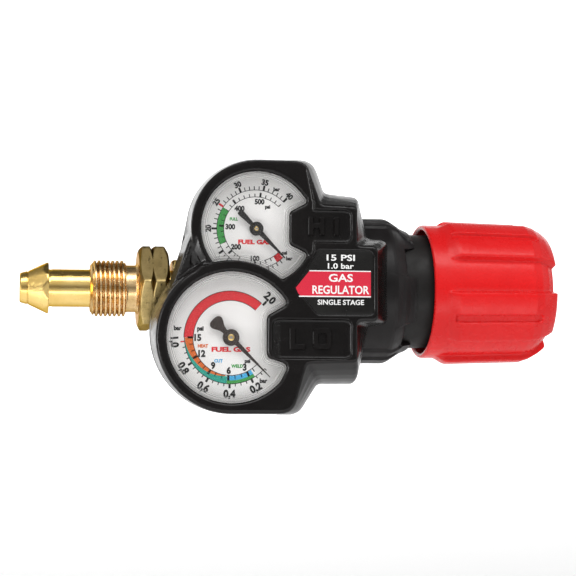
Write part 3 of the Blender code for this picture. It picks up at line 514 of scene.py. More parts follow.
def make_knob():
    pitch = 360.0 / KNOB_LOBES
    flank, lip = KNOB_HALF + 1.4, KNOB_HALF - 1.0
    stops = ((-36, 0), (-flank, 4), (-lip, 8), (-5.0, 6), (5.0, 20), (lip, 6), (flank, 8), (36, 4))
    spread = []
    for (start, _), (end, count) in zip(stops, stops[1:]):
        spread += list(np.linspace(start, end, count + 1)[:-1])
    angles = [KNOB_FIRST + pitch * k + s for k in range(KNOB_LOBES) for s in spread]
    valleys = ((170.0, 205.0, 208.8, 212.2, 214.8), (27.5, 26.7, 25.8, 24.1, 21.9))
    tops = ((176.0, 205.0, 208.6, 212.4, 215.8), (KNOB_LOBE, 29.2, 28.1, 26.0, 23.4))
    shoulder = 208.0  # from here on the skin is stretched to its own end

    def skin(along, radius, degrees):
        off = (degrees - KNOB_FIRST + pitch / 2) % pitch - pitch / 2
        lobe = eased((flank - abs(off)) / 2.4)
        valley, top = np.interp(along, *valleys), np.interp(along, *tops)
        if along < 178.0:
            slope = eased((along - KNOB_RAMP[0] + 0.045 * off) / (KNOB_RAMP[1] - KNOB_RAMP[0]))
            top = valley + (KNOB_LOBE - valley) * slope
        if 172.0 < along:
            across = abs(math.radians(off)) * 29.5
            tip = max(0.0, GROOVE[0] + GROOVE_WIDTH - along, along - GROOVE[1] + GROOVE_WIDTH)
            top -= GROOVE_DEPTH * eased((GROOVE_WIDTH - math.hypot(across, tip)) / 0.8)
        end = KNOB_END - 1.3 + 1.3 * lobe
        stretch = (end - shoulder) / (KNOB_END - shoulder)
        at = along if along < shoulder else shoulder + (along - shoulder) * stretch
        return at, valley + (top - valley) * lobe - max(0.0, KNOB_COLLAR - radius)

    full = KNOB_COLLAR
    outer = densified([(164.4, full), (169.4, full)], 0.8) + densified([(169.7, full), (179.0, full)], 0.25)
    outer += densified([(180.0, full), (203.0, full)], 1.6)
    outer += densified([(203.4, full), (KNOB_END - 0.9, full)], 0.4)
    outer += [(KNOB_END - 0.5, full - 0.1), (KNOB_END - 0.2, full - 0.3), (KNOB_END, full - 0.7)]
    outer.append((KNOB_END, full - 1.2))
    rim = [(163.2, 26.5), (163.3, 26.9), (163.6, 27.25), (164.0, 27.45)]
    inside = [(214.6, 19.0), (214.2, 18.3), (211.2, 18.3), (211.2, 9.8), (205.1, 9.8), (205.1, 6.2)]
    inside += [(198.0, 6.2), (198.0, 23.6), (195.0, 25.3), (164.6, 25.3), (163.8, 25.5), (163.3, 26.0)]
    rings = spun(rim, angles) + spun(outer, angles, skin) + spun(inside, angles)
    mesh = skinned("knob", rings, closed=True)
    finish_mesh("knob_moulding", mesh, RED, ["knob"], "knob", sharp=40.0)
    cap = [(211.5, 0.6), (211.5, 18.0), (214.6, 18.0, 0.5), (215.3, 17.0, 0.4), (215.0, 14.0, 1.0)]
    cap += [(214.6, 12.6, 1.0), (214.6, 0.6)]
    mesh = skinned("cap", spun(densified(filleted(cap), 0.8), evenly(96)))
    finish_mesh("knob_cap_disc", mesh, RED, ["knob_cap"], "knob")


# ---- bonnet and its sleeve


def make_bonnet():
    loop = [(118.9, 19.0), (118.9, 22.3), (124.8, 22.3), (124.8, 23.4), (186.5, 23.4, 0.5), (188.0, 21.9, 0.5)]
    loop += [(188.0, 9.0, 0.3), (191.5, 9.0, 0.4), (191.5, 6.0), (183.5, 6.0), (183.5, 19.0)]
    mesh = skinned("bonnet", spun(densified(filleted(loop), 3.0, closed=True), evenly(128)), closed=True)
    finish_mesh("bonnet_painted", mesh, BLACK_METAL, ["bonnet"])


def make_sleeve():
    """The sleeve behind the knob: a front and a back tab, and two arched claws with raised bands."""
    profile = ((127.0, 146.6, 148.0, 149.6, 151.6, 153.6, 155.6, 157.6),
               (28.9, 28.9, 28.6, 27.7, 26.4, 25.1, 24.2, 23.9))
    band_from = ((146.0, 149.0, 152.0, 154.5, 157.0), (57.0, 60.0, 62.0, 56.0, 49.0))

    def skin(along, radius, degrees):
        if radius < 0:
            return along, -radius
        fold, upper = abs((degrees + 180.0) % 360.0 - 180.0), degrees % 360.0 < 180.0
        fold = fold if fold < 90.0 else 180.0 - fold
        tab = eased(((11.0 if upper else 35.0) - fold) / 1.6)
        claw = eased((fold - (37.0 if upper else 59.0)) / 8.0)
        share = (along - SLEEVE_START) / (SLEEVE_END - SLEEVE_START)
        at = SLEEVE_START + share * (152.2 + 4.3 * tab + 5.0 * claw - SLEEVE_START)
        size = float(np.interp(at, *profile))
        band = eased((fold - float(np.interp(at, *band_from))) / 2.0)
        size += 0.9 * band * eased((158.2 - at) / 2.5)
        groove = eased((fold - 66.0) / 1.5) * eased((73.5 - fold) / 1.5)
        size -= 1.0 * groove * eased((152.5 - at) / 2.5)
        return at, size + 0.35 * tab * eased((at - 150.0) / 2.0)

    angles = evenly(400)
    outer = densified([(SLEEVE_START, 1.0), (145.0, 1.0)], 3.0)
    rings = spun(outer + densified([(145.4, 1.0), (SLEEVE_END, 1.0)], 0.4), angles, skin)
    edge = [(x, y, z, math.hypot(y, z)) for x, y, z in rings[-1]]
    rings.append([(x + 0.15, y * (r - 0.35) / r, z * (r - 0.35) / r) for x, y, z, r in edge])
    rings.append([(x + 0.15, y * SLEEVE_LIP / r, z * SLEEVE_LIP / r) for x, y, z, r in edge])
    inside = [(149.5, -SLEEVE_LIP), (149.0, -SLEEVE_LIP), (146.0, -27.3), (127.0, -27.3)]
    rings += spun(inside, angles, skin)
    mesh = skinned("sleeve", rings, closed=True)
    finish_mesh("sleeve_moulding", mesh, BLACK_SLEEVE, ["bonnet_shroud"], sharp=35.0)


# ---- housing


def low_window(distance=0.0):
    cx, cz = LOW
    edge = [(cx + 13.2, cz + 8.3, 2.6), (cx + 21.6, cz + 13.0, 2.6)]
    edge += arc(LOW, LOW_LENS, 42, 318)
    edge += [(cx + 22.0, cz - 10.4, 3.0), (cx + 13.2, cz - 7.9, 2.6)]
    return grown(filleted(edge, 8), distance)


def high_window(distance=0.0):
    cx, cz = HIGH
    edge = [(cx + 12.2, cz + 6.4, 2.4), (cx + 19.7, cz + 10.3, 2.2)]
    edge += arc(HIGH, HIGH_LENS, 38, 216)
    edge += arc(LOW, LOW_RING + 0.4, 105.5, 51.5)
    edge += arc(HIGH, HIGH_LENS, 296, 322)
    edge += [(cx + 19.6, cz - 10.0, 2.6), (cx + 12.2, cz - 6.4, 2.4)]
    return grown(filleted(edge, 8), distance)


def face_outline():
    (cx, cz), (hx, hz) = LOW, HIGH
    edge = [(hx + 18.5, hz + HIGH_RING, 7.0)]
    edge += arc(HIGH, HIGH_RING, 90, 213)
    edge += arc(LOW, LOW_RING, 119, 270)
    edge += [(cx + 23.5, cz - LOW_RING, 7.0), (109.0, -31.0, 2.0), (128.8, -30.4, 2.0), (128.8, -14.6, 1.5)]
    edge += [(137.0, -14.6, 3.0), (137.0, 15.2, 3.0), (128.8, 15.2, 1.5)]
    edge += [(128.8, 30.4, 2.0), (114.5, 31.0, 2.0)]
    return filleted(edge, 6)


def flare_outline():
    (cx, cz), (hx, hz) = LOW, HIGH
    edge = [(hx + 24.4, hz + HIGH_RING + 2.8, 7.0)]
    edge += arc((hx + 1.6, hz + 1.4), HIGH_RING + 1.2, 90, 213)
    edge += arc((cx + 1.8, cz + 2.0), LOW_RING + 2.2, 119, 270)
    edge += [(cx + 28.6, cz - LOW_RING - 0.4, 6.0), (116.6, -38.0, 3.0), (131.4, -38.0, 2.5)]
    edge += [(137.0, -15.6, 1.5), (144.8, -14.6, 3.0), (144.8, 19.2, 3.5), (136.6, 19.6, 1.5)]
    edge += [(132.0, 36.0, 2.5), (118.8, 37.4, 3.0)]
    return filleted(edge, 6)


def skirt_outline(distance=0.0):
    (cx, cz), (hx, hz) = LOW, HIGH
    edge = [(hx + 24.8, hz + HIGH_RING + 3.3, 7.5)]
    edge += arc((hx + 2.1, hz + 1.7), HIGH_RING + 1.6, 95, 172)
    edge += [(61.4, 10.0, 8.0), (58.4, 0.0, 8.0)]
    edge += arc((cx + 2.4, cz + 2.7), LOW_RING + 3.0, 163, 264)
    edge += [(cx + 29.0, cz - LOW_RING - 0.8, 6.5), (116.9, -38.4, 3.0), (131.8, -38.4, 2.5)]
    edge += [(135.0, -27.0, 3.0), (137.0, -18.0, 2.0), (137.0, 18.0, 2.0), (135.0, 27.0, 3.0)]
    edge += [(132.4, 36.4, 2.5), (119.2, 37.9, 3.0)]
    return grown(filleted(edge, 5), distance)


def web_outline():
    """The filled corner between the two rings, on the inlet side."""
    edge = [(66.0, 22.0, 1.0), (63.0, 15.0, 4.0), (60.4, 6.5, 4.0), (57.6, -1.5, 4.0), (53.0, -9.0, 1.0)]
    return filleted(edge + [(62.0, -4.0, 1.0), (72.0, 8.0, 1.0)], 6)


def web_front(z):
    return min(-34.8, -40.1 + 0.26 * (20.0 - z))


def label_outline():
    corners = [(113.0, -11.8, 1.0), (134.9, -11.8, 2.0), (134.9, 12.9, 3.0)]
    return filleted(corners + [(113.0, 12.9, 1.5), (104.6, -1.6, 1.0)], 6)


def finish_half(half, mesh):
    nodes = [f"housing_{half}"]
    finish_mesh(f"housing_{half}_moulding", mesh, BLACK, nodes, sharp=70.0)


def facet_cutter():
    """Cuts the slope from the upper ring down to the web; it reaches further out as it goes round."""
    rings, ahead = [], -46.0
    for degrees in range(188, 214):
        reach = FACET_START + 0.4 + (FACET_REACH - FACET_START) * min(1.0, (degrees - 188) / 20.0)
        deep = FACET_Y + FACET_SLOPE * (reach - FACET_START)
        section = ((FACET_START, ahead), (FACET_START, FACET_Y), (reach, deep), (reach, ahead))
        points = [(*polar(HIGH, radius, degrees), y) for radius, y in section]
        rings.append([(x, y, z) for x, z, y in points])
    return skinned("facet", rings)


def make_front():
    low, high = LOW_FACE, HIGH_FACE
    skirt = loft("skirt", [(-23.5, skirt_outline(-0.8)), (PARTING_Y, skirt_outline())])
    face, web, edge = face_outline(), web_outline(), low + 1.1
    levels = [(low, grown(face, -1.1)), (low + 0.35, grown(face, -0.45)), (edge, face)]
    for t in (0.2, 0.4, 0.6, 0.8, 1.0):
        share = t + FLARE_BULGE * t * (1 - t)
        spread = [(a + (c - a) * share, b + (d - b) * share) for (a, b), (c, d) in zip(face, flare_outline())]
        levels.append((edge + (FLARE_BACK - edge) * t, spread))
    rings = [[(x, web_front(z), z) for x, z in grown(web, -0.9)], [(x, web_front(z) + 0.9, z) for x, z in web]]
    rings.append([(x, FLARE_BACK, z) for x, z in grown(web, 1.0)])
    step = [(111.5, 31.0, 3)] + arc(HIGH, HIGH_RING + 6.0, 55, 205)
    step += arc(LOW, LOW_RING + 0.05, 112, 48) + [(104.8, 6.5, 2), (111.5, 12.0, 2)]
    steps = [("UNION", loft("raised", levels)), ("UNION", skinned("web", rings))]
    steps += cuts(prism("step", filleted(step, 5), low - 3, high), facet_cutter())
    for window, face_y in ((low_window, low), (high_window, high)):
        steps += cuts(
            prism("opening", window(), low - 3, face_y + 4),
            funnel(window(), face_y, 0.9, 0.8),
            prism("hollow", window(1.6), face_y + FRONT_WALL, face_y + DIAL_AT + 1.2),
        )
    steps += cuts(
        rod("sweep", "Y", HIGH, high + POINTER_AT - 0.7, high + DIAL_AT, 16.2),
        rod("case", "Y", LOW, low + DIAL_AT + 1.0, 0.0, LOW_RING - 2.4),
        rod("case", "Y", HIGH, high + DIAL_AT + 1.0, 0.0, HIGH_RING - 2.3),
        prism("chamber", filleted(box((100, 131), (-13, 13.5), 0.0)), -38.6, 0),
        bore(62.0, 150.0, 27.6),  # the body, then the sleeve and the nut
        bore(126.5, 160.0, 30.0, 96),
        bore(30.0, 62.5, 19.6),
    )
    for x, z in (((95.3, 126.2), (-28.6, -13.7)), ((104.6, 126.2), (16.1, 28.6))):
        steps += cuts(prism("plate", filleted(box(x, z, 2.6), 6), low - 3, low + 1.2))
    steps += cuts(prism("label", grown(label_outline(), 0.3), low - 3, low + 0.6))
    for centre in SCREW_POSTS:
        steps.append(("UNION", rod("post", "Y", centre, -23.0, PARTING_Y, 3.4, 24)))
        steps += cuts(rod("pilot", "Y", centre, -25.5, -10.0, 1.75, 24))
    finish_half("front", carved(skirt, steps, voxel=0.42, smooth=6))


def scaled(outline, share, centre=(97.0, 0.0)):
    return [(centre[0] + (x - centre[0]) * share, centre[1] + (z - centre[1]) * share) for x, z in outline]


def make_rear():
    base = skirt_outline()
    outer = ((PARTING_Y + 0.3, 1.0), (-12.0, 0.985), (4.0, 0.91), (19.0, 0.8), (26.0, 0.7), (28.6, 0.65))
    inner = ((PARTING_Y - 1.0, 0.945), (4.0, 0.855), (18.0, 0.74), (27.9, 0.6))
    shell = loft("rear", [(y, scaled(base, share)) for y, share in (*outer, (BACK_Y, 0.58))])
    steps = cuts(loft("hollow", [(y, scaled(base, share)) for y, share in inner]))
    for centre in SCREW_POSTS:
        steps.append(("UNION", rod("post", "Y", centre, PARTING_Y + 0.3, SCREW_SEAT_Y + 3.0, 4.3, 32)))
    for centre in SCREW_POSTS:
        steps += cuts(
            rod("hole", "Y", centre, -30.0, 10.0, 1.85, 24),
            rod("counterbore", "Y", centre, SCREW_SEAT_Y, 32.0, 3.3, 32),
        )
    steps += cuts(
        bore(126.5, 160.0, 30.0, 96),
        bore(76.0, 150.0, 27.6, 96),
        bore(30.0, 62.5, 19.6),
        bore(60.0, 80.0, 13.4),
        rod("outlet_hole", "Y", (PORT_X, 0.0), 20.0, 40.0, 10.4),
        rod("relief_hole", "Y", (PORT_X, RELIEF_Z), 20.0, 40.0, 7.0),
    )
    finish_half("rear", carved(shell, steps, voxel=0.5, smooth=5))


# ---- printing


class Print:
    """Thin printed shapes of one colour, standing a little proud of a flat face that looks along -Y."""

    def __init__(self, name, colour, y, proud=0.06):
        self.name, self.finish, self.bm = name, INKS[colour], bmesh.new()
        self.front, self.back = (y - proud) * MM, (y + 0.02) * MM

    def shape(self, outline):
        front = [self.bm.verts.new((x * MM, self.front, z * MM)) for x, z in outline]
        back = [self.bm.verts.new((x * MM, self.back, z * MM)) for x, z in outline]
        self.bm.faces.new(front)
        self.bm.faces.new(back[::-1])
        for i in range(len(outline)):
            j = (i + 1) % len(outline)
            self.bm.faces.new((front[i], back[i], back[j], front[j]))

    def band(self, centre, inner, outer, start, end):
        """A strip round a centre; inner and outer are radii, or functions of the angle."""
        count = max(3, round(abs(end - start) / 2.5))
        angles = [start + (end - start) * i / count for i in range(count + 1)]
        edges = []
        for side, order in ((inner, angles), (outer, angles[::-1])):
            edges += [polar(centre, side(a) if callable(side) else side, a) for a in order]
        self.shape(edges)

    def tick(self, centre, degrees, inner, outer, width):
        run, side = heading(degrees)
        a, b, side = Vector(centre) + run * inner, Vector(centre) + run * outer, side * width / 2
        self.shape([tuple(a - side), tuple(b - side), tuple(b + side), tuple(a + side)])

    def text(self, words, x, z, height, turn=0.0, width=None, bold=0.052):
        """Words centred at (x, z), height being a capital's; width, if given, is the whole width."""
        mesh = lettering(words, bold)
        spots = np.array([v.co for v in mesh.vertices])
        low, high = spots.min(0), spots.max(0)
        scale_y = height / CAPITAL
        scale_x = width / (high[0] - low[0]) if width else scale_y * 0.93
        c, s = math.cos(math.radians(turn)), math.sin(math.radians(turn))
        verts = []
        for vx, vy, vz in spots:
            dx, dy = (vx - (low[0] + high[0]) / 2) * scale_x, (vy - CAPITAL / 2) * scale_y
            px, pz = x + dx * c - dy * s, z + dx * s + dy * c
            verts.append(self.bm.verts.new((px * MM, self.front if vz > 0 else self.back, pz * MM)))
        for polygon in mesh.polygons:
            self.bm.faces.new([verts[i] for i in polygon.vertices])
        bpy.data.meshes.remove(mesh)

    def done(self, slot):
        bmesh.ops.remove_doubles(self.bm, verts=self.bm.verts, dist=1e-8)
        mesh = bpy.data.meshes.new(self.name)
        self.bm.to_mesh(mesh)
        self.bm.free()
        return finish_mesh(self.name, mesh, self.finish, (), sharp=30.0)


def lettering(words, bold):
    curve = bpy.data.curves.new("words", "FONT")
    curve.body, curve.resolution_u, curve.size = words, 3, 1.0
    curve.offset, curve.extrude = bold, 0.5
    return baked(placed("words", curve))


CAPITAL = max(v.co.y for v in lettering("H", 0.02).vertices)  # a capital's height at size 1


def make_low_dial():
    colours = ("black", "red", "orange", "teal", "blue", "green")
    prints = [Print(f"low_dial_{colour}_print", colour, LOW_FACE + DIAL_AT) for colour in colours]
    black, red, orange, teal, blue, green = prints

    def wedge(degrees):
        return float(np.interp(degrees, (180, 185, 208, 237, 262), (17.6, 17.5, 16.6, 15.8, 14.9)))

    def psi_angle(psi):
        return 325.0 - psi * 29 / 3

    bands = ((red, 14.4, 17.8, 180.0, 47.5), (orange, 14.6, wedge, 180.3, 262.0))
    bands += ((teal, wedge, 17.6, 183.0, 265.0), (blue, 14.7, 16.4, 265.2, 302.5))
    bands += ((green, 16.4, 17.6, 265.2, 302.5), (black, 14.15, 14.4, 180.0, 47.5))
    bands += ((black, 17.8, 18.05, 180.0, 47.5), (black, 14.35, 14.6, 180.0, 318.0))
    for made, *band in (*bands, (black, 17.6, 17.85, 180.0, 318.0)):
        made.band(LOW, *band)
    red.tick(LOW, 185.0, 17.7, 19.3, 0.55)
    for step in range(1, 20):
        black.tick(LOW, -35.0 - 7.0 * step, 17.7, *((18.8, 0.38) if step % 4 else (19.4, 0.85)))
    black.tick(LOW, 45.0, 17.7, 19.6, 0.85)
    for psi in range(1, 16):
        black.tick(LOW, psi_angle(psi), 14.6, *((16.0, 0.36) if psi % 3 else (16.5, 0.85)))
    for words, degrees in (("0,2", -63.0), ("0,4", -91.0), ("0,6", -119.0), ("0,8", -147.0), ("1,0", -175.0)):
        black.text(words, *polar(LOW, 21.5, degrees), 2.8, turn=degrees + 90.0)
    black.text("2,0", *polar(LOW, 21.7, 45.0), 2.8, turn=-45.0)
    for psi in (3, 6, 9, 12, 15):
        black.text(str(psi), *polar(LOW, 12.6, psi_angle(psi)), 2.4)
    texts = ((red, "FUEL GAS", 0.2, -4.5, 1.7, 15.0), (black, "psi", -11.6, 3.5, 1.7, None))
    texts += ((black, "psi", 6.6, -8.9, 1.5, None), (black, "bar", -20.3, 3.6, 1.6, None))
    texts += ((black, "bar", 12.8, -16.5, 1.6, None), (orange, "HEAT", -10.6, -3.2, 1.2, None))
    texts += ((blue, "CUT", -4.6, -8.9, 1.2, None), (green, "WELD", 2.6, -10.9, 1.2, None))
    for made, words, dx, dz, height, width in texts:
        made.text(words, LOW[0] + dx, LOW[1] + dz, height, width=width)
    for made in prints:
        made.done("white_enamel")


def make_high_dial():
    colours = ("black", "red", "green")
    prints = [Print(f"high_dial_{colour}_print", colour, HIGH_FACE + DIAL_AT) for colour in colours]
    black, red, green = prints

    def shown(degrees, *radii):
        """Whether the lower gauge's ring leaves these radii in sight."""
        return all(math.dist(polar(HIGH, radius, degrees), LOW) > LOW_RING + 0.2 for radius in radii)

    def bar_angle(bar):
        return -45.0 - 6.75 * bar

    def psi_angle(psi):
        return -45.0 - 0.4654 * psi

    green.band(HIGH, 12.6, 15.2, 147.0, 204.0)
    green.text("FULL", HIGH[0] - 8.6, HIGH[1] + 3.8, 1.1)
    red.band(HIGH, 12.6, 15.3, -46.0, -57.0)
    red.text("FUEL GAS", HIGH[0] - 0.5, HIGH[1] - 5.0, 1.6, width=12.8)
    for bar in range(1, 41):
        if shown(bar_angle(bar), 15.2, 17.2):
            made = red if bar == 25 else black
            made.tick(HIGH, bar_angle(bar), 15.2, *((16.7, 0.36) if bar % 5 else (17.3, 0.8)))
    for psi in range(0, 600, 20):
        if shown(psi_angle(psi), 12.5, 14.2):
            major = psi > 0 and psi % 100 == 0
            black.tick(HIGH, psi_angle(psi), 12.5, *((14.3, 0.8) if major else (13.8, 0.36)))
    for radius, last in ((15.12, 232.0), (12.42, 240.0)):
        for start, end in ((45.0, last), (285.0, 315.0)):
            black.band(HIGH, radius, radius + 0.24, start, end)
    for bar in (20, 25, 30, 35, 40):
        turn = bar_angle(bar) % 360.0 - 90.0
        black.text(str(bar), *polar(HIGH, 18.6, bar_angle(bar)), 2.05, turn=turn)
    for psi, radius in ((500, 10.8), (400, 10.2), (300, 10.0), (200, 10.4), (100, 11.4)):
        black.text(str(psi), *polar(HIGH, radius, psi_angle(psi)), 1.9)
    for words, dx, dz in (("bar", 8.2, 15.7), ("bar", 13.1, -11.2), ("psi", 4.6, 8.8), ("psi", 11.2, -9.0)):
        black.text(words, HIGH[0] + dx, HIGH[1] + dz, 1.4)
    for made in prints:
        made.done("white_enamel")


def make_label():
    y = LOW_FACE + 0.05
    outline = label_outline()
    mesh = loft("label", [(y, grown(outline, -0.25)), (y + 0.08, outline), (y + 0.35, outline)])
    finish_mesh("label_plate", mesh, LABEL_BLACK, ["label"])
    red = Print("label_red_print", "crimson", y, proud=0.04)
    red.shape([(105.6, -4.6), (133.7, -4.6), (133.7, 4.8), (109.5, 4.8), (104.3, -1.6)])
    white = Print("label_white_print", "white", y, proud=0.05)
    white.shape([(105.4, -5.05), (133.7, -5.05), (133.7, -4.6), (105.6, -4.6)])
    white.shape([(109.5, 4.8), (133.7, 4.8), (133.7, 5.2), (109.8, 5.2)])
    rows = (("15 PSI", 10.2, 2.3, 11.1), ("1.0 bar", 7.0, 2.05, 10.2), ("GAS", 2.4, 2.9, 9.5))
    rows += (("REGULATOR", -2.2, 3.1, 22.3), ("SINGLE STAGE", -7.0, 1.9, 18.2))
    for words, z, height, width in rows:
        white.text(words, 121.9, z, height, width=width, bold=0.02)
    red.done("label_print")
    white.done("label_print")


def merged(meshes):
    bm = bmesh.new()
    for mesh in meshes:
        bm.from_mesh(mesh)
    bm.to_mesh(meshes[0])
    bm.free()
    return meshes[0]


def raised_letter(outline, hole=None):
    """A block letter standing in a name-plate recess, its front edges bevelled."""
    back, lip, top = LOW_FACE + 1.3, LOW_FACE + 0.8, LOW_FACE + 0.2
    levels = [(back, outline), (lip, outline), (top, grown(outline, -0.36))]
    if hole:
        levels += [(top, grown(hole, 0.36)), (lip, hole), (back, hole)]
    return loft("letter", levels, closed=bool(hole))


def bar_letter(x, z, corners):
    outline = filleted([(x + dx, z + dz, 0.5) for dx, dz in corners], 4)
    return raised_letter(densified(outline, 0.6, closed=True))


def make_letters():
    h_shape = ((0, 0), (2.3, 0), (2.3, 2.7), (4.4, 2.7), (4.4, 0), (6.7, 0), (6.7, 7.4), (4.4, 7.4))
    h_shape += ((4.4, 4.9), (2.3, 4.9), (2.3, 7.4), (0, 7.4))
    i_shape = ((0, 0), (2.3, 0), (2.3, 7.4), (0, 7.4))
    l_shape = ((0, 0), (6.2, 0), (6.2, 2.3), (2.4, 2.3), (2.4, 8.6), (0, 8.6))
    o_shape, o_hole = box((111.0, 118.6), (-25.4, -16.8), 2.4), box((113.4, 116.2), (-23.1, -19.1), 1.0)
    high = [bar_letter(109.2, 18.6, h_shape), bar_letter(119.2, 18.6, i_shape)]
    low = [bar_letter(102.0, -25.4, l_shape), raised_letter(filleted(o_shape, 6), filleted(o_hole, 6))]
    for name, letters in (("high_plate_letters", high), ("low_plate_letters", low)):
        finish_mesh(name, merged(letters), BLACK, (), sharp=30.0)


# ---- lenses and pointers


def make_lens(prefix, window, face_y):
    inner, flange, back = window(-0.15), window(0.8), face_y + FRONT_WALL
    steps = ((1.15, -2.1), (0.8, -1.85), (0.8, -1.45), (1.15, -1.2), (1.15, -0.8), (1.7, -0.2), (1.9, 0.0))
    levels = [(face_y + deep, grown(inner, distance)) for deep, distance in steps]
    levels += [(back + 0.15, inner), (back + 0.2, flange), (back + 1.1, flange)]
    mesh, nodes = loft("lens", levels), [f"{prefix}_lens"]
    lens = finish_mesh(f"{prefix}_lens_moulding", mesh, CLEAR, nodes, sharp=20.0)
    lens.data.materials.append(CLEAR_EDGE)
    for face in lens.data.polygons:
        face.material_index = int(abs(face.normal.y) < 0.97)


def needle_outline(centre, path):
    """Half widths along the needle, turned to its rest angle."""
    run, side = heading(-45.0)
    upper = [tuple(Vector(centre) + run * s - side * w) for s, w in path]
    lower = [tuple(Vector(centre) + run * s + side * w) for s, w in reversed(path)]
    return upper + lower


def make_pointer(prefix, centre, face, path, hub, pin, finish):
    y, body = face + POINTER_AT, f"{prefix}_hand"

    def turned(name, profile, sides):
        return skinned(name, spun(profile, evenly(sides), None, "Y", centre))

    outline = needle_outline(centre, path)
    mesh = loft("needle", [(y, grown(outline, -0.06)), (y + 0.08, outline), (y + 0.5, outline)])
    finish_mesh(f"{prefix}_needle", mesh, finish, [f"{prefix}_pointer"], body)
    cap = [(y - 0.15, 0.05), (y - 0.15, hub * 0.45, 0.05), (y - 0.05, hub * 0.5, 0.05)]
    cap += [(y - 0.05, hub * 0.72, 0.1), (y - 0.28, hub * 0.78, 0.05), (y - 0.28, hub * 0.94, 0.05)]
    cap += [(y - 0.1, hub, 0.05), (y + 1.0, hub, 0.1), (y + 1.0, 0.05)]
    mesh = turned("hub", filleted(cap, 3), 72)
    finish_mesh(f"{prefix}_needle_hub", mesh, finish, (), body)
    dome = [(y - 0.3, 0.05), (y - 0.29, pin * 0.5), (y - 0.22, pin * 0.85), (y - 0.12, pin), (y, pin)]
    finish_mesh(f"{prefix}_needle_pin", turned("pin", [*dome, (y, 0.05)], 40), BRASS_PLAIN, (), body)


def make_pointers():
    low = [(-9.8, 0.3), (-9.75, 1.2), (-9.4, 2.1), (-8.8, 2.65), (-8.0, 2.8), (-7.0, 2.5), (-5.0, 1.35)]
    low += [(-3.6, 1.0), (0.0, 1.0), (3.0, 0.9), (12.0, 0.5), (21.5, 0.12)]
    make_pointer("low", LOW, LOW_FACE, low, 3.2, 1.3, NEEDLE)
    high = [(-9.5, 0.3), (-9.45, 0.9), (-9.1, 1.15), (-8.4, 1.2), (-3.0, 0.8), (0.0, 0.8)]
    high += [(3.0, 0.95), (15.8, 0.2)]
    make_pointer("high", HIGH, HIGH_FACE, high, 2.7, 0.8, NEEDLE_BLACK)


# ---- outlet and relief valve


def make_port_part(name, label, centre, parts):
    """A turned brass part along Y, from (path, shape) parts, that replaces the node called label."""
    rings = []
    for path, shape in parts:
        rings += spun(path, evenly(120), shape, "Y", centre)
    finish_mesh(name, skinned(label, rings, closed=True), BRASS_PLAIN, [label])


def make_outlet():
    pitch, first, last = 25.4 / 18, 39.5, 51.6

    def thread(along, radius, degrees):
        phase = ((along - first) / pitch + degrees / 360.0) % 1.0
        rise = min(1.0, max(0.0, (1 - abs(phase * 2 - 1) - 0.12) / 0.74))
        fade = min(1.0, (along - first) / 0.8, last - along)
        return along, 6.35 + 0.79 * rise * max(0.0, fade)

    across = [(31.4, 8.6), (32.2, 9.9), (37.2, 9.9), (38.0, 8.6)]
    make_port_part("outlet_fitting_turned", "outlet_fitting", (PORT_X, 0.0), (
        ([(24.3, 3.0), (24.3, 6.3), (31.4, 6.3)], None),
        (densified(across, 0.4), hexed(17.46, 0.0, 0.3, 0.2)),
        (densified([(38.05, 6.35), (39.4, 6.35)], 0.5), None),
        (densified([(first, 6.35), (51.7, 6.35)], 0.16), thread),
        ([(52.0, 6.0), (52.0, 5.2), (48.0, 3.2), (26.0, 3.0)], None),
    ))
    across = [(31.4, 5.1), (31.9, 5.7), (35.0, 5.7), (35.5, 5.1)]
    cap = [(35.55, 4.9), (37.0, 4.9), (37.2, 4.6), (37.8, 4.6), (38.0, 4.9), (40.2, 4.9), (40.5, 4.6)]
    make_port_part("relief_valve_turned", "relief_valve_body", (PORT_X, RELIEF_Z), (
        ([(24.0, 1.6), (24.0, 4.6), (31.4, 4.6)], None),
        (densified(across, 0.3), hexed(10.2, 0.0, 0.2, 0.15)),
        (cap + [(40.5, 3.4), (26.0, 3.4), (26.0, 1.6)], None),
    ))


def dress_cad():
    """Finishes for the CAD nodes that show as they are, by the start of their slot's name."""
    finishes = {"brass": BRASS_PLAIN, "steel": STEEL, "bronze": BRONZE, "black_plastic": BLACK,
                "rubber": RUBBER, "black_metal": BLACK_METAL, "red_plastic": RED, "clear_plastic": CLEAR,
                "white_enamel": DIAL_WHITE, "label_print": LABEL_BLACK, "pointer_black": NEEDLE}
    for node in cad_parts.values():
        for holder in node.material_slots:
            found = [slot for slot in finishes if holder.material.name.startswith(slot)]
            holder.material = finishes[found[0]]


# ---- springs and Bourdon tubes


def make_spring(name, axis, centre, reach, radius, wire, turns):
    """A compression spring with closed end coils."""
    start, end = reach
    pitch, count = 2.1 * wire, round(turns * 36)
    rings = []
    for i in range(count + 1):
        done = turns * i / count
        along = float(np.interp(done, (0, 1, turns - 1, turns), (start, start + pitch, end - pitch, end)))
        a, ring = 2 * math.pi * done, []
        for b in np.linspace(0, 2 * math.pi, 13)[:-1]:
            at, size = along + wire * math.sin(b), radius + wire * math.cos(b)
            u, v = centre[0] + size * math.cos(a), centre[1] + size * math.sin(a)
            ring.append((at, u, v) if axis == "X" else (u, at, v))
        rings.append(ring)
    spring = finish_mesh(f"{name}_wound", skinned(name, rings), STEEL, [name])
    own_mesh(spring)


def make_springs():
    port, axis, end = (PORT_X, RELIEF_Z), (0, 0), (PORT_X, 36.7, RELIEF_Z)
    make_spring("range_spring", "X", axis, (125.8, 165.4), 13.3, 1.75, 7)
    make_spring("poppet_spring", "X", axis, (85.0, 91.8), 3.4, 0.48, 5)
    make_spring("relief_spring", "Y", port, (29.2, 36.3), 2.3, 0.38, 5)


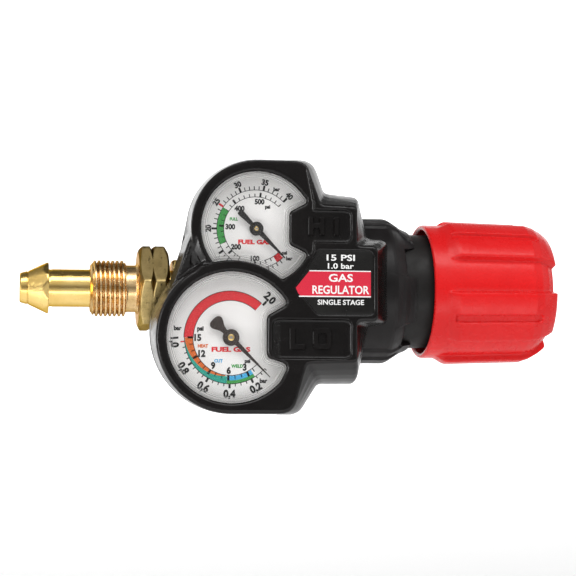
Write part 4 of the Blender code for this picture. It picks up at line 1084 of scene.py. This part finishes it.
def make_tubes():
    """Flattened C tubes."""
    for prefix, centre, face, radius in (("low", LOW, LOW_FACE, 15.0), ("high", HIGH, HIGH_FACE, 14.0)):
        middle = face + TUBE_AT
        start = 270.0 - math.degrees(math.asin(5.4 / radius))
        rings = []
        for degrees in np.linspace(start, -30.0, 73):
            ring = []
            for b in np.linspace(0, 2 * math.pi, 21)[:-1]:
                out, deep = -1.25 * math.cos(b), 2.15 * math.sin(b)
                x, z = polar(centre, radius + out, degrees)
                ring.append((x, middle + deep, z))
            rings.append(ring)
        mesh = skinned("tube", rings)
        nodes = [f"{prefix}_bourdon_tube"]
        piece = finish_mesh(f"{prefix}_tube_formed", mesh, BRASS_PLAIN, nodes, None)
        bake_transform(piece)


# ---- stage, lights, camera


def make_stage():
    """A white backdrop, whose floor glows less towards its bottom."""
    made, tree, shader = graph("stage_white")
    cloud = noise(tree, 2.0, 2.0)
    join(mixed(tree, cloud, (0.92, 0.92, 0.92), (0.95, 0.95, 0.95)), shader, "Base Color")
    shader.inputs["Roughness"].default_value = 0.9
    shader.inputs["Specular IOR Level"].default_value = 0.1
    shader.inputs["Emission Color"].default_value = (1.0, 1.0, 1.0, 1.0)
    glow = remap(tree, split(tree, coordinates(tree))["Z"], -0.29, 0.0, 0.1, 0.8)
    join(glow, shader, "Emission Strength")
    bend = [math.radians(a) for a in range(10, 91, 10)]
    profile = [(-3.0, -0.30), (0.9, -0.30)]
    profile += [(0.9 + 0.6 * math.sin(a), 0.3 - 0.6 * math.cos(a)) for a in bend]
    profile.append((1.5, 1.1))
    count = len(profile)
    faces = [(i, i + count, i + count + 1, i + 1) for i in range(count - 1)]
    mesh = bpy.data.meshes.new("backdrop")
    mesh.from_pydata([(x, y, z) for x in (-4.0, 4.2) for y, z in profile], [], faces)
    mesh.materials.append(made)
    mesh.shade_smooth()
    backdrop = placed("backdrop", mesh)


def area_light(name, place, size, power):
    lamp = bpy.data.lights.new(name, "AREA")
    lamp.shape, lamp.size, lamp.size_y = "RECTANGLE", *size
    lamp.energy = power
    made = placed(name, lamp)
    made.location = place
    made.rotation_euler = (Vector((0.11, -0.02, 0.0)) - Vector(place)).to_track_quat("-Z", "Y").to_euler()


def make_lights():
    area_light("softbox_above", (0.05, -0.42, 0.62), (1.0, 0.32), 4.2)
    area_light("softbox_below", (0.12, -0.45, -0.27), (1.0, 0.10), 0.75)
    area_light("softbox_left", (-0.75, -0.30, 0.0), (0.22, 0.55), 4.4)
    area_light("softbox_right", (0.95, -0.25, 0.20), (0.35, 0.7), 0.6)
    world = bpy.data.worlds.new("studio")
    world.use_nodes = True
    tree = world.node_tree
    way = split(tree, add(tree, "TexCoord").outputs["Generated"])
    level = add(tree, "ValToRGB")
    stops = ((0.0, 0.5), (0.42, 0.40), (0.5, 0.28), (0.58, 0.38), (0.70, 0.95), (0.89, 0.95))
    stops += ((0.95, 0.25), (1.0, 0.15))
    while len(level.color_ramp.elements) < len(stops):
        level.color_ramp.elements.new(0.5)
    for stop, (place, value) in zip(level.color_ramp.elements, stops):
        stop.position, stop.color = place, (value, value, value, 1.0)
    background = tree.nodes["Background"]
    join(remap(tree, way["Z"], -1.0, 1.0), level, "Fac")
    join(level.outputs["Color"], background, "Color")
    join(remap(tree, way["Y"], -0.2, 0.5, 0.75, 0.3), background, "Strength")
    bpy.context.scene.world = world
    bpy.context.scene.view_settings.view_transform = "Standard"


def make_camera():
    target = Vector((0.1083, 0.0, 0.00095))
    turn, lift, distance = math.radians(-9.5), math.radians(-3.6), 0.660
    away = Vector((math.sin(turn) * math.cos(lift), -math.cos(turn) * math.cos(lift), math.sin(lift)))
    lens = bpy.data.cameras.new("view")
    lens.sensor_width, lens.lens = 36.0, 100.875
    lens.clip_start, lens.clip_end = 0.01, 50.0
    made = placed("view", lens)
    made.location = target + away * distance
    made.rotation_euler = (-away).to_track_quat("-Z", "Y").to_euler()
    bpy.context.scene.camera = made


make_camera()
make_nipple()
make_nut()
make_knob()
make_bonnet()
make_sleeve()
make_front()
make_rear()
make_low_dial()
make_high_dial()
make_label()
make_letters()
make_lens("low", low_window, LOW_FACE)
make_lens("high", high_window, HIGH_FACE)
make_pointers()
make_outlet()
make_springs()
make_tubes()
dress_cad()
make_stage()
make_lights()
